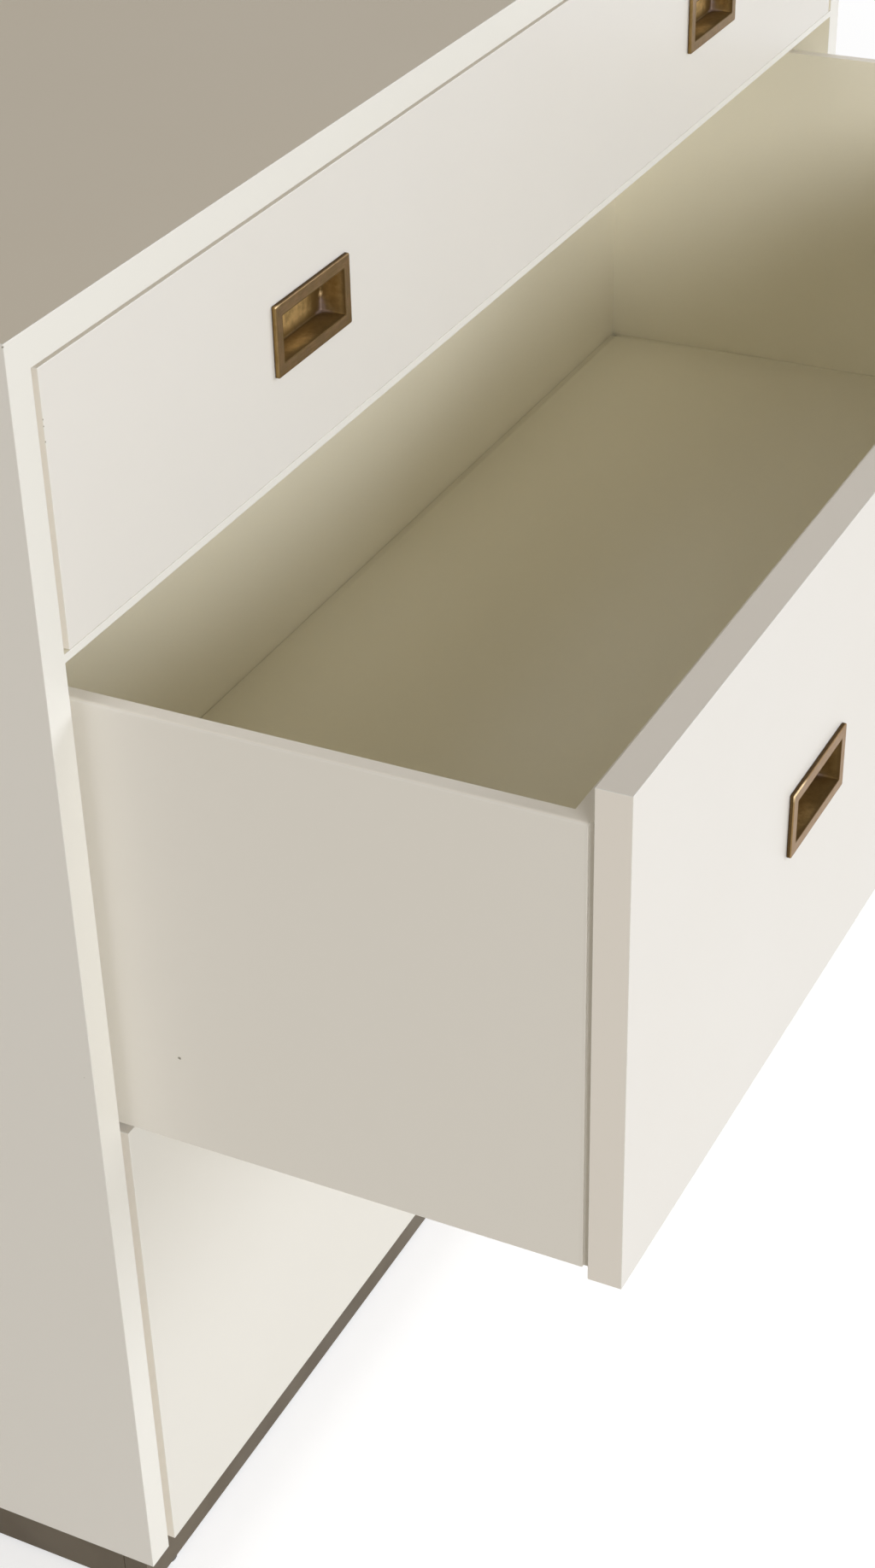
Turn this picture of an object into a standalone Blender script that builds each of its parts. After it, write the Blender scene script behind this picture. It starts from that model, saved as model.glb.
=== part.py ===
"""Wide chest of three inset drawers in cream lacquer, with recessed brass pulls.

The case is a mitred box of boards on a recessed plinth. Each drawer is a painted box
behind a separate face board, and it runs on a pair of steel runners hidden underneath.
The middle drawer stands open. Lengths are in metres, +Z is up and -Y is the front.
The origin is on the floor, under the middle of the whole chest with that drawer open.
"""

import math

import bmesh
import bpy
from mathutils import Vector

# Gap left between two pieces that touch
fit = 0.0003

# Case
case_width = 1.200
case_depth = 0.525
panel_thickness = 0.020
back_thickness = 0.006
back_inset = 0.004
rabbet_width = 0.008
base_height = 0.060

# Thin panel between the top drawer and the middle one
dust_thickness = 0.0050
dust_groove_depth = 0.006
dust_groove_start = 0.012

# Plinth and glides
plinth_setback = 0.0205
plinth_thickness = 0.018
block_leg = 0.045
block_rise = 0.006
glide_height = 0.004
glide_radius = 0.008
glide_from_end = 0.035
glide_sides = 24

# Drawer faces, and the gaps above, below and beside them
face_thickness = 0.020
top_face_height = 0.1541
middle_face_height = 0.3148
bottom_face_height = 0.3462
gap_over_top_face = 0.0020
gap_under_top_face = 0.0006
gap_over_middle_face = 0.0033
gap_under_middle_face = 0.0010
gap_behind_bottom_face = 0.0020
top_side_gap = 0.0050
middle_side_gap = 0.0062
bottom_side_gap = 0.0075
middle_drawer_open = 0.3125

# Drawer boxes
box_side_gap = 0.009
box_side_thickness = 0.010
box_front_thickness = 0.015
box_lip_thickness = 0.004
box_lip_inset = 0.002
box_back_thickness = 0.012
box_bottom_thickness = 0.006
box_groove_depth = 0.005
bottom_recess = 0.0118
rim_drop = 0.0234
top_box_lift = 0.0075
middle_box_lift = 0.0045
bottom_box_lift = 0.0095
rear_clearance = 0.0107

# Runners, bent from steel sheet
sheet_thickness = 0.0015
runner_front_clearance = 0.003
runner_rear_clearance = 0.004
runner_side_clearance = 0.002
slide_width = 0.020
slide_height = 0.011
slide_play = 0.0004
rail_inset = 0.0025
rail_web_clearance = 0.004
rail_flange_height = 0.022
rail_lip_height = 0.003

# Recessed pulls
top_pull_spacing = 0.6138
top_pull_above_middle = 0.0013
pull_spacing = 0.5968
pull_above_middle = 0.0023
pull_width = 0.0876
pull_height = 0.0422
pull_rim = 0.0073
pull_proud = 0.0030
pull_wall = 0.0015
pull_corner = 0.0012
cup_corner = 0.0012
cup_draft = 0.0002
pocket_floor = 0.0036
pocket_clearance = 0.0015
pocket_side_clearance = 0.0005

# Eased edges
face_ease = 0.0006
panel_ease = 0.0006
box_ease = 0.0018
ease_steps = 2
corner_steps = 3

# Colours as red, green and blue from 0 to 1, then roughness and metallic
finishes = {
    "lacquer": ((0.86, 0.835, 0.775), 0.36, 0.0),
    "box_lacquer": ((0.86, 0.83, 0.76), 0.42, 0.0),
    "back_board": ((0.62, 0.59, 0.51), 0.55, 0.0),
    "plinth_paint": ((0.190, 0.150, 0.100), 0.50, 0.0),
    "block_wood": ((0.52, 0.38, 0.24), 0.70, 0.0),
    "aged_brass": ((0.42, 0.27, 0.12), 0.34, 1.0),
    "runner_steel": ((0.56, 0.57, 0.58), 0.38, 1.0),
    "glide_plastic": ((0.10, 0.10, 0.10), 0.50, 0.0),
}

# Levels above the floor
case_bottom = base_height
bottom_face_low = case_bottom
bottom_face_high = bottom_face_low + bottom_face_height
middle_face_low = bottom_face_high + gap_under_middle_face
middle_face_high = middle_face_low + middle_face_height
dust_low = middle_face_high + gap_over_middle_face
dust_high = dust_low + dust_thickness
top_face_low = dust_high + gap_under_top_face
top_face_high = top_face_low + top_face_height
case_top = top_face_high + gap_over_top_face + panel_thickness

# Distances from the middle line and from the front plane of the case
half_width = case_width / 2
half_inside = half_width - panel_thickness
back_plane = case_depth - back_inset - back_thickness
half_box_outer = half_inside - box_side_gap
half_box_inner = half_box_outer - box_side_thickness
box_front_start = face_thickness + fit
box_front_end = box_front_start + box_front_thickness
box_side_start = box_front_start + box_lip_thickness + fit
box_end = back_plane - rear_clearance
box_back_start = box_end - box_back_thickness
runner_start = box_front_end + runner_front_clearance
runner_end = box_back_start - runner_rear_clearance

# Distance of the case's front plane from the origin
open_reach = middle_drawer_open + pull_proud
case_front = (open_reach - case_depth) / 2


def clear_scene():
    """Take away whatever the scene holds."""
    for item in list(bpy.data.objects):
        bpy.data.objects.remove(item, do_unlink=True)


def finish_material(name, finish):
    """A plain material of the finish's colour, roughness and metallic value."""
    colour, roughness, metallic = finishes[finish]
    material = bpy.data.materials.new(name + "_" + finish)
    material.use_nodes = True
    shader = material.node_tree.nodes["Principled BSDF"]
    shader.inputs["Base Color"].default_value = (*colour, 1.0)
    shader.inputs["Roughness"].default_value = roughness
    shader.inputs["Metallic"].default_value = metallic
    material.diffuse_color = (*colour, 1.0)
    return material


def empty(name, location, parent=None):
    """A marker that a body's pieces hang from."""
    marker = bpy.data.objects.new(name, None)
    bpy.context.scene.collection.objects.link(marker)
    marker.location = location
    marker.parent = parent
    return marker


def place(name, shape, location, finish, parent):
    """Turn a bmesh into a named object at its place under its parent."""
    bmesh.ops.recalc_face_normals(shape, faces=shape.faces)
    mesh = bpy.data.meshes.new(name)
    shape.to_mesh(mesh)
    shape.free()
    piece = bpy.data.objects.new(name, mesh)
    bpy.context.scene.collection.objects.link(piece)
    piece.location = location
    piece.parent = parent
    mesh.materials.append(finish_material(name, finish))
    return piece


def add_block(shape, low, high):
    """Add a box between two corners to a bmesh."""
    corners = [
        shape.verts.new((x, y, z))
        for x in (low[0], high[0])
        for y in (low[1], high[1])
        for z in (low[2], high[2])
    ]
    for loop in ((0, 1, 3, 2), (4, 6, 7, 5), (0, 4, 5, 1), (2, 3, 7, 6), (0, 2, 6, 4), (1, 5, 7, 3)):
        shape.faces.new([corners[index] for index in loop])


def block(size):
    """A box of the given size about the origin."""
    half = Vector(size) / 2
    shape = bmesh.new()
    add_block(shape, -half, half)
    return shape


def prism(outline, start, end, to_point):
    """A solid between two copies of an outline; to_point turns (a, b, along) into a place."""
    shape = bmesh.new()
    near = [shape.verts.new(to_point(a, b, start)) for a, b in outline]
    far = [shape.verts.new(to_point(a, b, end)) for a, b in outline]
    count = len(outline)
    for index in range(count):
        following = (index + 1) % count
        shape.faces.new((near[index], near[following], far[following], far[index]))
    shape.faces.new(near)
    shape.faces.new(list(reversed(far)))
    return shape


def along_y(a, b, along):
    """An outline in X and Z, drawn out along Y."""
    return (a, along, b)


def along_z(a, b, along):
    """An outline in X and Y, drawn out along Z."""
    return (a, b, along)


def ease_edges(shape, radius, chosen=None):
    """Round a shape's sharp edges, or only those that chosen picks."""
    edges = [edge for edge in shape.edges if chosen is None or chosen(edge)]
    bmesh.ops.bevel(
        shape,
        geom=edges,
        offset=radius,
        offset_type="OFFSET",
        segments=ease_steps,
        profile=0.5,
        affect="EDGES",
        clamp_overlap=True,
    )


def smooth(piece):
    """Shade round stretches smoothly and keep corners crisp."""
    piece.data.shade_smooth()
    piece.data.set_sharp_from_angle(angle=math.radians(50))


def cut(piece, blocks):
    """Cut boxes, given by their corners in the piece's own frame, out of a piece.

    The boxes of one piece may run into each other, so the cut allows for that.
    """
    shape = bmesh.new()
    for low, high in blocks:
        add_block(shape, low, high)
    bmesh.ops.recalc_face_normals(shape, faces=shape.faces)
    mesh = bpy.data.meshes.new(piece.name + "_cutter")
    shape.to_mesh(mesh)
    shape.free()
    cutter = bpy.data.objects.new(piece.name + "_cutter", mesh)
    bpy.context.scene.collection.objects.link(cutter)
    cutter.parent = piece.parent
    cutter.location = piece.location
    cutter.hide_render = True
    cutter.display_type = "WIRE"
    boolean = piece.modifiers.new("cut", "BOOLEAN")
    boolean.operation = "DIFFERENCE"
    boolean.solver = "EXACT"
    boolean.use_self = True
    boolean.object = cutter


def board(name, low, high, finish, parent, ease, cuts=()):
    """A board with eased edges between two corners, less the boxes cut out of it."""
    low = Vector(low)
    high = Vector(high)
    centre = (low + high) / 2
    size = high - low
    shape = block(size)
    ease_edges(shape, min(ease, 0.3 * min(size)))
    piece = place(name, shape, centre, finish, parent)
    smooth(piece)
    if cuts:
        cut(piece, [(Vector(start) - centre, Vector(end) - centre) for start, end in cuts])
    return piece


def mitre_arc(start_angle, end_angle):
    """Points of half of the case's rounded top corner, from one angle to the other."""
    centre_x = half_width - panel_ease
    centre_z = case_top - panel_ease
    points = []
    for step in range(ease_steps + 1):
        angle = math.radians(start_angle + (end_angle - start_angle) * step / ease_steps)
        points.append((centre_x + panel_ease * math.cos(angle), centre_z + panel_ease * math.sin(angle)))
    return points


def on_open_edge(edge):
    """True for the straight front and back edges that no other panel of the case meets."""
    first, second = (vertex.co for vertex in edge.verts)
    at_front = max(first.y, second.y) < fit
    at_back = min(first.y, second.y) > case_depth - fit
    lengths = (abs(first.x - second.x), abs(first.z - second.z))
    straight = min(lengths) < fit and max(lengths) > panel_thickness
    return (at_front or at_back) and straight


def make_side_panel(name, side, case):
    """A side of the case: mitred at the top, grooved for the dust panel and rabbeted behind."""
    mitre = fit / math.sqrt(2)
    arc = mitre_arc(0, 45)
    arc[-1] = (arc[-1][0], arc[-1][1] - mitre)
    inner_top = case_top - panel_thickness - mitre
    outline = [(half_inside, case_bottom), (half_width, case_bottom)] + arc + [(half_inside, inner_top)]
    shape = prism([(side * x, z) for x, z in outline], 0.0, case_depth, along_y)
    ease_edges(shape, panel_ease / 2, on_open_edge)
    piece = place(name, shape, (0, 0, 0), "lacquer", case)
    smooth(piece)
    groove_end = half_inside + dust_groove_depth
    rabbet_end = half_inside + rabbet_width
    past = panel_thickness
    groove = sorted((side * (half_inside - past), side * groove_end))
    rabbet = sorted((side * (half_inside - past), side * rabbet_end))
    rabbet_top = case_top - panel_thickness + rabbet_width
    cut(piece, [
        ((groove[0], dust_groove_start, dust_low - fit), (groove[1], back_plane, dust_high + fit)),
        ((rabbet[0], back_plane - fit, case_bottom - past), (rabbet[1], case_depth + past, rabbet_top)),
    ])


def make_top_panel(case):
    """The top of the case, mitred to both sides and rabbeted for the back."""
    mitre = fit / math.sqrt(2)
    right = mitre_arc(45, 90)
    right[0] = (right[0][0] - mitre, right[0][1])
    right.insert(0, (half_inside - mitre, case_top - panel_thickness))
    left = [(-x, z) for x, z in reversed(right)]
    shape = prism(right + left, 0.0, case_depth, along_y)
    ease_edges(shape, panel_ease / 2, on_open_edge)
    piece = place("top_panel", shape, (0, 0, 0), "lacquer", case)
    smooth(piece)
    reach = half_width + panel_thickness
    rabbet_top = case_top - panel_thickness + rabbet_width
    low = (-reach, back_plane - fit, case_top - 2 * panel_thickness)
    high = (reach, case_depth + panel_thickness, rabbet_top)
    cut(piece, [(low, high)])


def make_dust_panel(case):
    """The thin panel under the top drawer; its front edge shows between two faces."""
    narrow = half_inside - fit
    wide = half_inside + dust_groove_depth - fit
    shoulder = dust_groove_start + fit
    rear = back_plane - 2 * fit
    right = [(narrow, 0.0), (narrow, shoulder), (wide, shoulder), (wide, rear)]
    left = [(-x, y) for x, y in reversed(right)]
    shape = prism(right + left, dust_low, dust_high, along_z)
    place("dust_panel", shape, (0, 0, 0), "lacquer", case)


def make_case(case):
    """The boards of the case above the plinth."""
    make_side_panel("side_panel_left", -1, case)
    make_side_panel("side_panel_right", 1, case)
    make_top_panel(case)
    make_dust_panel(case)
    board(
        "bottom_panel",
        (-half_inside + fit, face_thickness + gap_behind_bottom_face, case_bottom),
        (half_inside - fit, back_plane - fit, case_bottom + panel_thickness),
        "lacquer", case, panel_ease,
    )
    back_half = half_inside + rabbet_width - fit
    back_top = case_top - panel_thickness + rabbet_width - fit
    board(
        "back_panel",
        (-back_half, back_plane, case_bottom),
        (back_half, back_plane + back_thickness, back_top),
        "back_board", case, panel_ease / 2,
    )


def make_plinth(case):
    """Four plinth boards, a glued block in each corner and a glide under each end."""
    low = glide_height + fit
    high = case_bottom - fit
    outer_x = half_width - plinth_setback
    inner_x = outer_x - plinth_thickness
    front = plinth_setback
    rear = case_depth - plinth_setback
    for name, start in (("plinth_front", front), ("plinth_back", rear - plinth_thickness)):
        end = (outer_x, start + plinth_thickness, high)
        board(name, (-outer_x, start, low), end, "plinth_paint", case, panel_ease)
    for name, side in (("plinth_left", -1), ("plinth_right", 1)):
        across = sorted((side * inner_x, side * outer_x))
        start = (across[0], front + plinth_thickness + fit, low)
        end = (across[1], rear - plinth_thickness - fit, high)
        board(name, start, end, "plinth_paint", case, panel_ease)
    for end_name, corner_y, inward in (
        ("front", front + plinth_thickness + fit, 1),
        ("back", rear - plinth_thickness - fit, -1),
    ):
        glide_y = corner_y - inward * (fit + plinth_thickness / 2)
        for side_name, side in (("left", -1), ("right", 1)):
            corner_x = side * (inner_x - fit)
            outline = [
                (corner_x, corner_y),
                (corner_x - side * block_leg, corner_y),
                (corner_x, corner_y + inward * block_leg),
            ]
            shape = prism(outline, low + block_rise, high, along_z)
            place("plinth_block_" + end_name + "_" + side_name, shape, (0, 0, 0), "block_wood", case)
            glide_x = side * (outer_x - glide_from_end)
            make_glide("glide_" + end_name + "_" + side_name, (glide_x, glide_y, 0), case)


def make_glide(name, location, case):
    """A round glide with an eased lower edge."""
    shape = bmesh.new()
    chamfer = 0.25 * glide_height
    rings = ((glide_radius - chamfer, 0.0), (glide_radius, chamfer), (glide_radius, glide_height))
    loops = []
    for radius, z in rings:
        loop = []
        for step in range(glide_sides):
            angle = 2 * math.pi * step / glide_sides
            loop.append(shape.verts.new((radius * math.cos(angle), radius * math.sin(angle), z)))
        loops.append(loop)
    join_loops(shape, loops)
    smooth(place(name, shape, location, "glide_plastic", case))


def join_loops(shape, loops):
    """Bridge each loop of points to the next and cap the first and the last."""
    for near, far in zip(loops, loops[1:]):
        count = len(near)
        for index in range(count):
            following = (index + 1) % count
            shape.faces.new((near[index], near[following], far[following], far[index]))
    shape.faces.new(list(reversed(loops[0])))
    shape.faces.new(loops[-1])


def sheet_outline(path):
    """The outline of a bent sheet whose middle follows a path of square bends."""
    half = sheet_thickness / 2
    left = []
    right = []
    for index, point in enumerate(path):
        before = path[max(index - 1, 0)]
        after = path[min(index + 1, len(path) - 1)]
        normals = []
        for start, end in ((before, point), (point, after)):
            run = Vector((end[0] - start[0], end[1] - start[1]))
            if run.length > 0:
                run.normalize()
                normals.append(Vector((-run.y, run.x)))
        shift = normals[0] if len(normals) == 1 else normals[0] + normals[1]
        left.append((point[0] + half * shift.x, point[1] + half * shift.y))
        right.append((point[0] - half * shift.x, point[1] - half * shift.y))
    return left + list(reversed(right))


def make_runner(prefix, side_name, side, side_bottom, drawer_bottom_offset, case, drawer):
    """The rail screwed to the case and the slide under the drawer, on one side."""
    half = sheet_thickness / 2
    underside = side_bottom + bottom_recess
    slide_top = underside - fit - half
    slide_outer = half_box_inner - runner_side_clearance - half
    slide_inner = slide_outer - slide_width + sheet_thickness
    slide_low = underside - slide_height
    rail_top = slide_top - sheet_thickness - slide_play
    web = side_bottom - rail_web_clearance - half
    flange = half_inside - fit - half
    rail_path = [
        (flange, web + rail_flange_height),
        (flange, web),
        (slide_outer - rail_inset, web),
        (slide_outer - rail_inset, rail_top),
        (slide_inner + rail_inset, rail_top),
        (slide_inner + rail_inset, web + rail_lip_height),
    ]
    slide_path = [
        (slide_outer, slide_low),
        (slide_outer, slide_top),
        (slide_inner, slide_top),
        (slide_inner, slide_low),
    ]
    rail = [(side * x, z) for x, z in sheet_outline(rail_path)]
    slide = [(side * x, z - drawer_bottom_offset) for x, z in sheet_outline(slide_path)]
    shape = prism(rail, runner_start, runner_end, along_y)
    place(prefix + "_rail_" + side_name, shape, (0, 0, 0), "runner_steel", case)
    shape = prism(slide, runner_start, runner_end, along_y)
    place(prefix + "_slide_" + side_name, shape, (0, 0, 0), "runner_steel", drawer)


def rounded_rectangle(half_x, half_z, radius):
    """Points round a rectangle with rounded corners, anticlockwise from the right."""
    points = []
    for quarter, (sign_x, sign_z) in enumerate(((1, 1), (-1, 1), (-1, -1), (1, -1))):
        for step in range(corner_steps + 1):
            angle = math.radians(90 * (quarter + step / corner_steps))
            x = sign_x * (half_x - radius) + radius * math.cos(angle)
            z = sign_z * (half_z - radius) + radius * math.sin(angle)
            points.append((x, z))
    return points


def make_pull(name, location, drawer):
    """A cast pull: a proud rim round a sunk cup, as rings joined from the floor to the back."""
    half_x = pull_width / 2
    half_z = pull_height / 2
    cup_x = half_x - pull_rim
    cup_z = half_z - pull_rim
    floor = face_thickness - pocket_floor - pocket_clearance - pull_wall
    edge = min(pull_corner, 0.5 * pull_proud)
    back_x = cup_x + pull_wall
    back_z = cup_z + pull_wall
    back_corner = cup_corner + pull_wall
    rings = (
        (cup_x - cup_draft, cup_z - cup_draft, cup_corner, floor),
        (cup_x, cup_z, cup_corner, -pull_proud),
        (half_x - edge, half_z - edge, pull_corner, -pull_proud),
        (half_x - 0.3 * edge, half_z - 0.3 * edge, pull_corner, -pull_proud + 0.3 * edge),
        (half_x, half_z, pull_corner, -pull_proud + edge),
        (half_x, half_z, pull_corner, -fit),
        (back_x, back_z, back_corner, -fit),
        (back_x - cup_draft, back_z - cup_draft, back_corner, floor + pull_wall),
    )
    shape = bmesh.new()
    loops = [
        [shape.verts.new((x, y, z)) for x, z in rounded_rectangle(ring_x, ring_z, radius)]
        for ring_x, ring_z, radius, y in rings
    ]
    join_loops(shape, loops)
    smooth(place(name, shape, location, "aged_brass", drawer))


def make_drawer(prefix, face_low, face_high, side_gap, side_bottom, spacing, pull_level, opened, case):
    """One drawer: its face and pulls, its box and its runners; pull_level is above its middle."""
    middle = (face_low + face_high) / 2
    half_face = half_inside - side_gap
    drawer = empty(prefix, (0, -opened, middle), case)
    top = face_high - middle
    rim = top - rim_drop
    low = side_bottom - middle
    floor_low = low + bottom_recess
    floor_high = floor_low + box_bottom_thickness
    groove = (floor_low - fit, floor_high + fit)

    pocket_x = pull_width / 2 - pull_rim + pull_wall + pocket_side_clearance
    pocket_z = pull_height / 2 - pull_rim + pull_wall + pocket_side_clearance
    pockets = []
    for side in (-1, 1):
        centre_x = side * spacing / 2
        start = (centre_x - pocket_x, -face_thickness, pull_level - pocket_z)
        end = (centre_x + pocket_x, face_thickness - pocket_floor, pull_level + pocket_z)
        pockets.append((start, end))
    board(
        prefix + "_face",
        (-half_face, 0.0, -top), (half_face, face_thickness, top),
        "lacquer", drawer, face_ease, pockets,
    )
    for side_name, side in (("left", -1), ("right", 1)):
        make_pull(prefix + "_pull_" + side_name, (side * spacing / 2, 0.0, pull_level), drawer)

    lip_half = half_box_outer - box_lip_inset
    body_half = half_box_inner - fit
    lip_end = box_front_start + box_lip_thickness
    past = box_front_thickness
    notches = []
    for side in (-1, 1):
        across = sorted((side * body_half, side * (half_box_outer + past)))
        notches.append(((across[0], lip_end, low - past), (across[1], box_front_end + past, rim + past)))
    groove_start = box_front_end - box_groove_depth
    front_groove = ((-half_inside, groove_start, groove[0]), (half_inside, box_front_end + past, groove[1]))
    board(
        prefix + "_box_front",
        (-lip_half, box_front_start, low), (lip_half, box_front_end, rim),
        "box_lacquer", drawer, box_ease, notches + [front_groove],
    )
    for side_name, side in (("left", -1), ("right", 1)):
        across = sorted((side * half_box_inner, side * half_box_outer))
        reach = sorted((side * (half_box_inner - past), side * (half_box_inner + box_groove_depth)))
        side_groove = ((reach[0], groove_start, groove[0]), (reach[1], box_end + past, groove[1]))
        board(
            prefix + "_box_side_" + side_name,
            (across[0], box_side_start, low), (across[1], box_end, rim),
            "box_lacquer", drawer, box_ease, [side_groove],
        )
    board(
        prefix + "_box_back",
        (-body_half, box_back_start, floor_high + fit), (body_half, box_end, rim),
        "box_lacquer", drawer, box_ease,
    )
    floor_half = half_box_inner + box_groove_depth - fit
    board(
        prefix + "_box_bottom",
        (-floor_half, groove_start + fit, floor_low), (floor_half, box_end, floor_high),
        "box_lacquer", drawer, panel_ease / 2,
    )
    for side_name, side in (("left", -1), ("right", 1)):
        make_runner(prefix, side_name, side, side_bottom, middle, case, drawer)


def main():
    """Build the whole chest."""
    clear_scene()
    case = empty("case", (0, case_front, 0))
    make_case(case)
    make_plinth(case)
    make_drawer(
        "top_drawer", top_face_low, top_face_high, top_side_gap,
        top_face_low + top_box_lift, top_pull_spacing, top_pull_above_middle, 0.0, case,
    )
    make_drawer(
        "middle_drawer", middle_face_low, middle_face_high, middle_side_gap,
        middle_face_low + middle_box_lift, pull_spacing, pull_above_middle, middle_drawer_open, case,
    )
    make_drawer(
        "bottom_drawer", bottom_face_low, bottom_face_high, bottom_side_gap,
        case_bottom + panel_thickness + bottom_box_lift, pull_spacing, pull_above_middle, 0.0, case,
    )


main()
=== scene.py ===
# %% [markdown]
# # A wide dresser with three inset drawers
#
# This lesson dresses a finished CAD model of a painted dresser, so that it looks like a studio
# photograph of one with its middle drawer open. The CAD model fixes every size and motion.
# Here each board, pull, runner and screw gets the shape and the finish that the eye expects.
#
# The model is loaded first. Each CAD node keeps its name and its place, in metres, and each
# new piece is either laid over the node it stands for or fixed to a body that moves.

# %% Load the CAD frame
import math

import bmesh
import bpy
from mathutils import Matrix, Vector, noise


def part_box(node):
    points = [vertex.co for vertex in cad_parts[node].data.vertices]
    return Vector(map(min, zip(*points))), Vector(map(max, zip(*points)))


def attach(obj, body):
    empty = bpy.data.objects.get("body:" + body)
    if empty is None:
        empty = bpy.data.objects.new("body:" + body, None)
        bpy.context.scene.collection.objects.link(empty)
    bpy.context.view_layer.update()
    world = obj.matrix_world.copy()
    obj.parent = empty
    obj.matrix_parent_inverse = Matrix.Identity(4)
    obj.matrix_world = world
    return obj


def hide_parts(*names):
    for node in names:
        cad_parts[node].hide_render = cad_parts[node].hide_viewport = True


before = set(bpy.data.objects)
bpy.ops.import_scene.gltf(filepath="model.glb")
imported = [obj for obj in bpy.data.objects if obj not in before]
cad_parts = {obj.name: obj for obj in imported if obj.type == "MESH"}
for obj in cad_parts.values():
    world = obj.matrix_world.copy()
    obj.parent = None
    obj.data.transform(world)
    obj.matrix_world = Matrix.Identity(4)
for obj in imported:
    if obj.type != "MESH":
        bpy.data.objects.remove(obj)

scene = bpy.context.scene
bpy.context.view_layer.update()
drawers = ("top_drawer", "middle_drawer", "bottom_drawer")

# %% [markdown]
# ## The camera
#
# The photograph was taken from the front left and from above, close enough that the open
# drawer fills the picture. Such a camera can be solved from straight edges: three families of
# parallel edges give three vanishing points, and those give the turn and the focal length.
#
# The picture is also a crop from a larger one, so its middle isn't where the lens points. A
# shifted lens says exactly that. Turning the camera instead would bend the edges' directions.

# %% The camera
camera_place = Vector((-1.5706, -0.82175, 1.4082))
away_from_scene = Vector((-0.70968, -0.39189, 0.58548)).normalized()
picture_right = Vector((0.45983, -0.88726, -0.03650)).normalized()
picture_up = away_from_scene.cross(picture_right).normalized()
picture_right = picture_up.cross(away_from_scene)

camera_data = bpy.data.cameras.new("front_left_view")
camera_data.sensor_width = 36.0
camera_data.lens = 61.85
camera_data.shift_x = 0.0437
camera_data.shift_y = 0.1095
camera_data.clip_start = 0.05
camera_data.clip_end = 60.0
camera = bpy.data.objects.new("front_left_view", camera_data)
scene.collection.objects.link(camera)
camera_turn = Matrix((picture_right, picture_up, away_from_scene)).transposed()
camera.matrix_world = Matrix.Translation(camera_place) @ camera_turn.to_4x4()
scene.camera = camera
scene.view_settings.view_transform = "Standard"
print("camera at", [round(value, 3) for value in camera_place], "with a", camera_data.lens, "mm lens")

# %% [markdown]
# ## Building with nodes
#
# Every finish and every Geometry Nodes tree below is a graph of nodes. A short helper adds
# one node, sets it up and connects its inputs in one call, so a graph reads from top to bottom
# like a recipe. A second helper starts a group: a graph with named inputs and outputs that
# several finishes share, each with its own values.

# %% Helpers for node graphs
def feed(tree, sockets, values):
    """Give sockets their values; a value is plain or the output of another node."""
    for key, value in values.items():
        if isinstance(value, bpy.types.NodeSocket):
            tree.links.new(value, sockets[key])
        else:
            sockets[key].default_value = value


def add(tree, kind, inputs=None, **settings):
    """A new node with its settings; its inputs go by name or by number."""
    node = tree.nodes.new(kind)
    node.location = (200 * len(tree.nodes), 0)
    for name, value in settings.items():
        setattr(node, name, value)
    feed(tree, node.inputs, inputs or {})
    return node


def group(name, kind, inputs, outputs):
    """An empty node group with named sockets, and the sockets at its two ends."""
    tree = bpy.data.node_groups.new(name, kind)
    for socket, socket_kind, value in inputs:
        made = tree.interface.new_socket(socket, in_out="INPUT", socket_type="NodeSocket" + socket_kind)
        if value is not None:
            made.default_value = value
    for socket, socket_kind in outputs:
        tree.interface.new_socket(socket, in_out="OUTPUT", socket_type="NodeSocket" + socket_kind)
    start = tree.nodes.new("NodeGroupInput")
    end = tree.nodes.new("NodeGroupOutput")
    end.location = (2400, 0)
    return tree, start.outputs, end.inputs


def scaled_noise(tree, vector, size, detail=2.0, roughness=0.5):
    """Noise whose bumps are about size metres across; a socket gives bumps per metre instead."""
    per_metre = size if isinstance(size, bpy.types.NodeSocket) else 1.0 / size
    return add(
        tree, "ShaderNodeTexNoise",
        {"Vector": vector, "Scale": per_metre, "Detail": detail, "Roughness": roughness},
    ).outputs["Fac"]


def remap(tree, value, low, high, new_low=0.0, new_high=1.0):
    """A value moved from one range to another and held inside it."""
    return add(
        tree, "ShaderNodeMapRange",
        {"Value": value, "From Min": low, "From Max": high, "To Min": new_low, "To Max": new_high},
    ).outputs["Result"]


def arithmetic(tree, operation, first, second=0.0):
    """One sum, product or other simple operation on numbers."""
    return add(tree, "ShaderNodeMath", {0: first, 1: second}, operation=operation).outputs[0]


def vector_math(tree, operation, first, second=(0.0, 0.0, 0.0)):
    """One operation on vectors; gives both of the node's outputs, Vector and Value."""
    return add(tree, "ShaderNodeVectorMath", {0: first, 1: second}, operation=operation).outputs


def blend_colours(tree, factor, first, second):
    """Two colours mixed by a factor."""
    return add(tree, "ShaderNodeMix", {0: factor, 6: first, 7: second}, data_type="RGBA").outputs[2]


print("helpers ready: feed, add, group, scaled_noise, remap, arithmetic, vector_math, blend_colours")

# %% [markdown]
# ## Sprayed lacquer
#
# The dresser is sprayed with a satin cream lacquer. Close up, sprayed paint is never one flat
# colour: the film is a little thicker here and warmer there, its surface has a fine ripple
# that makers call orange peel, and a few specks of dust settle in it before it dries.
#
# An image texture could hold this, but it would need unwrapping and would blur in close-ups.
# Noise read from the object's own coordinates has detail at every distance and runs across
# from one board to the next, just as paint does. Three groups share the work: one for tone,
# one for the film's relief and gloss, and one for single marks such as a filled nail hole.

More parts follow.
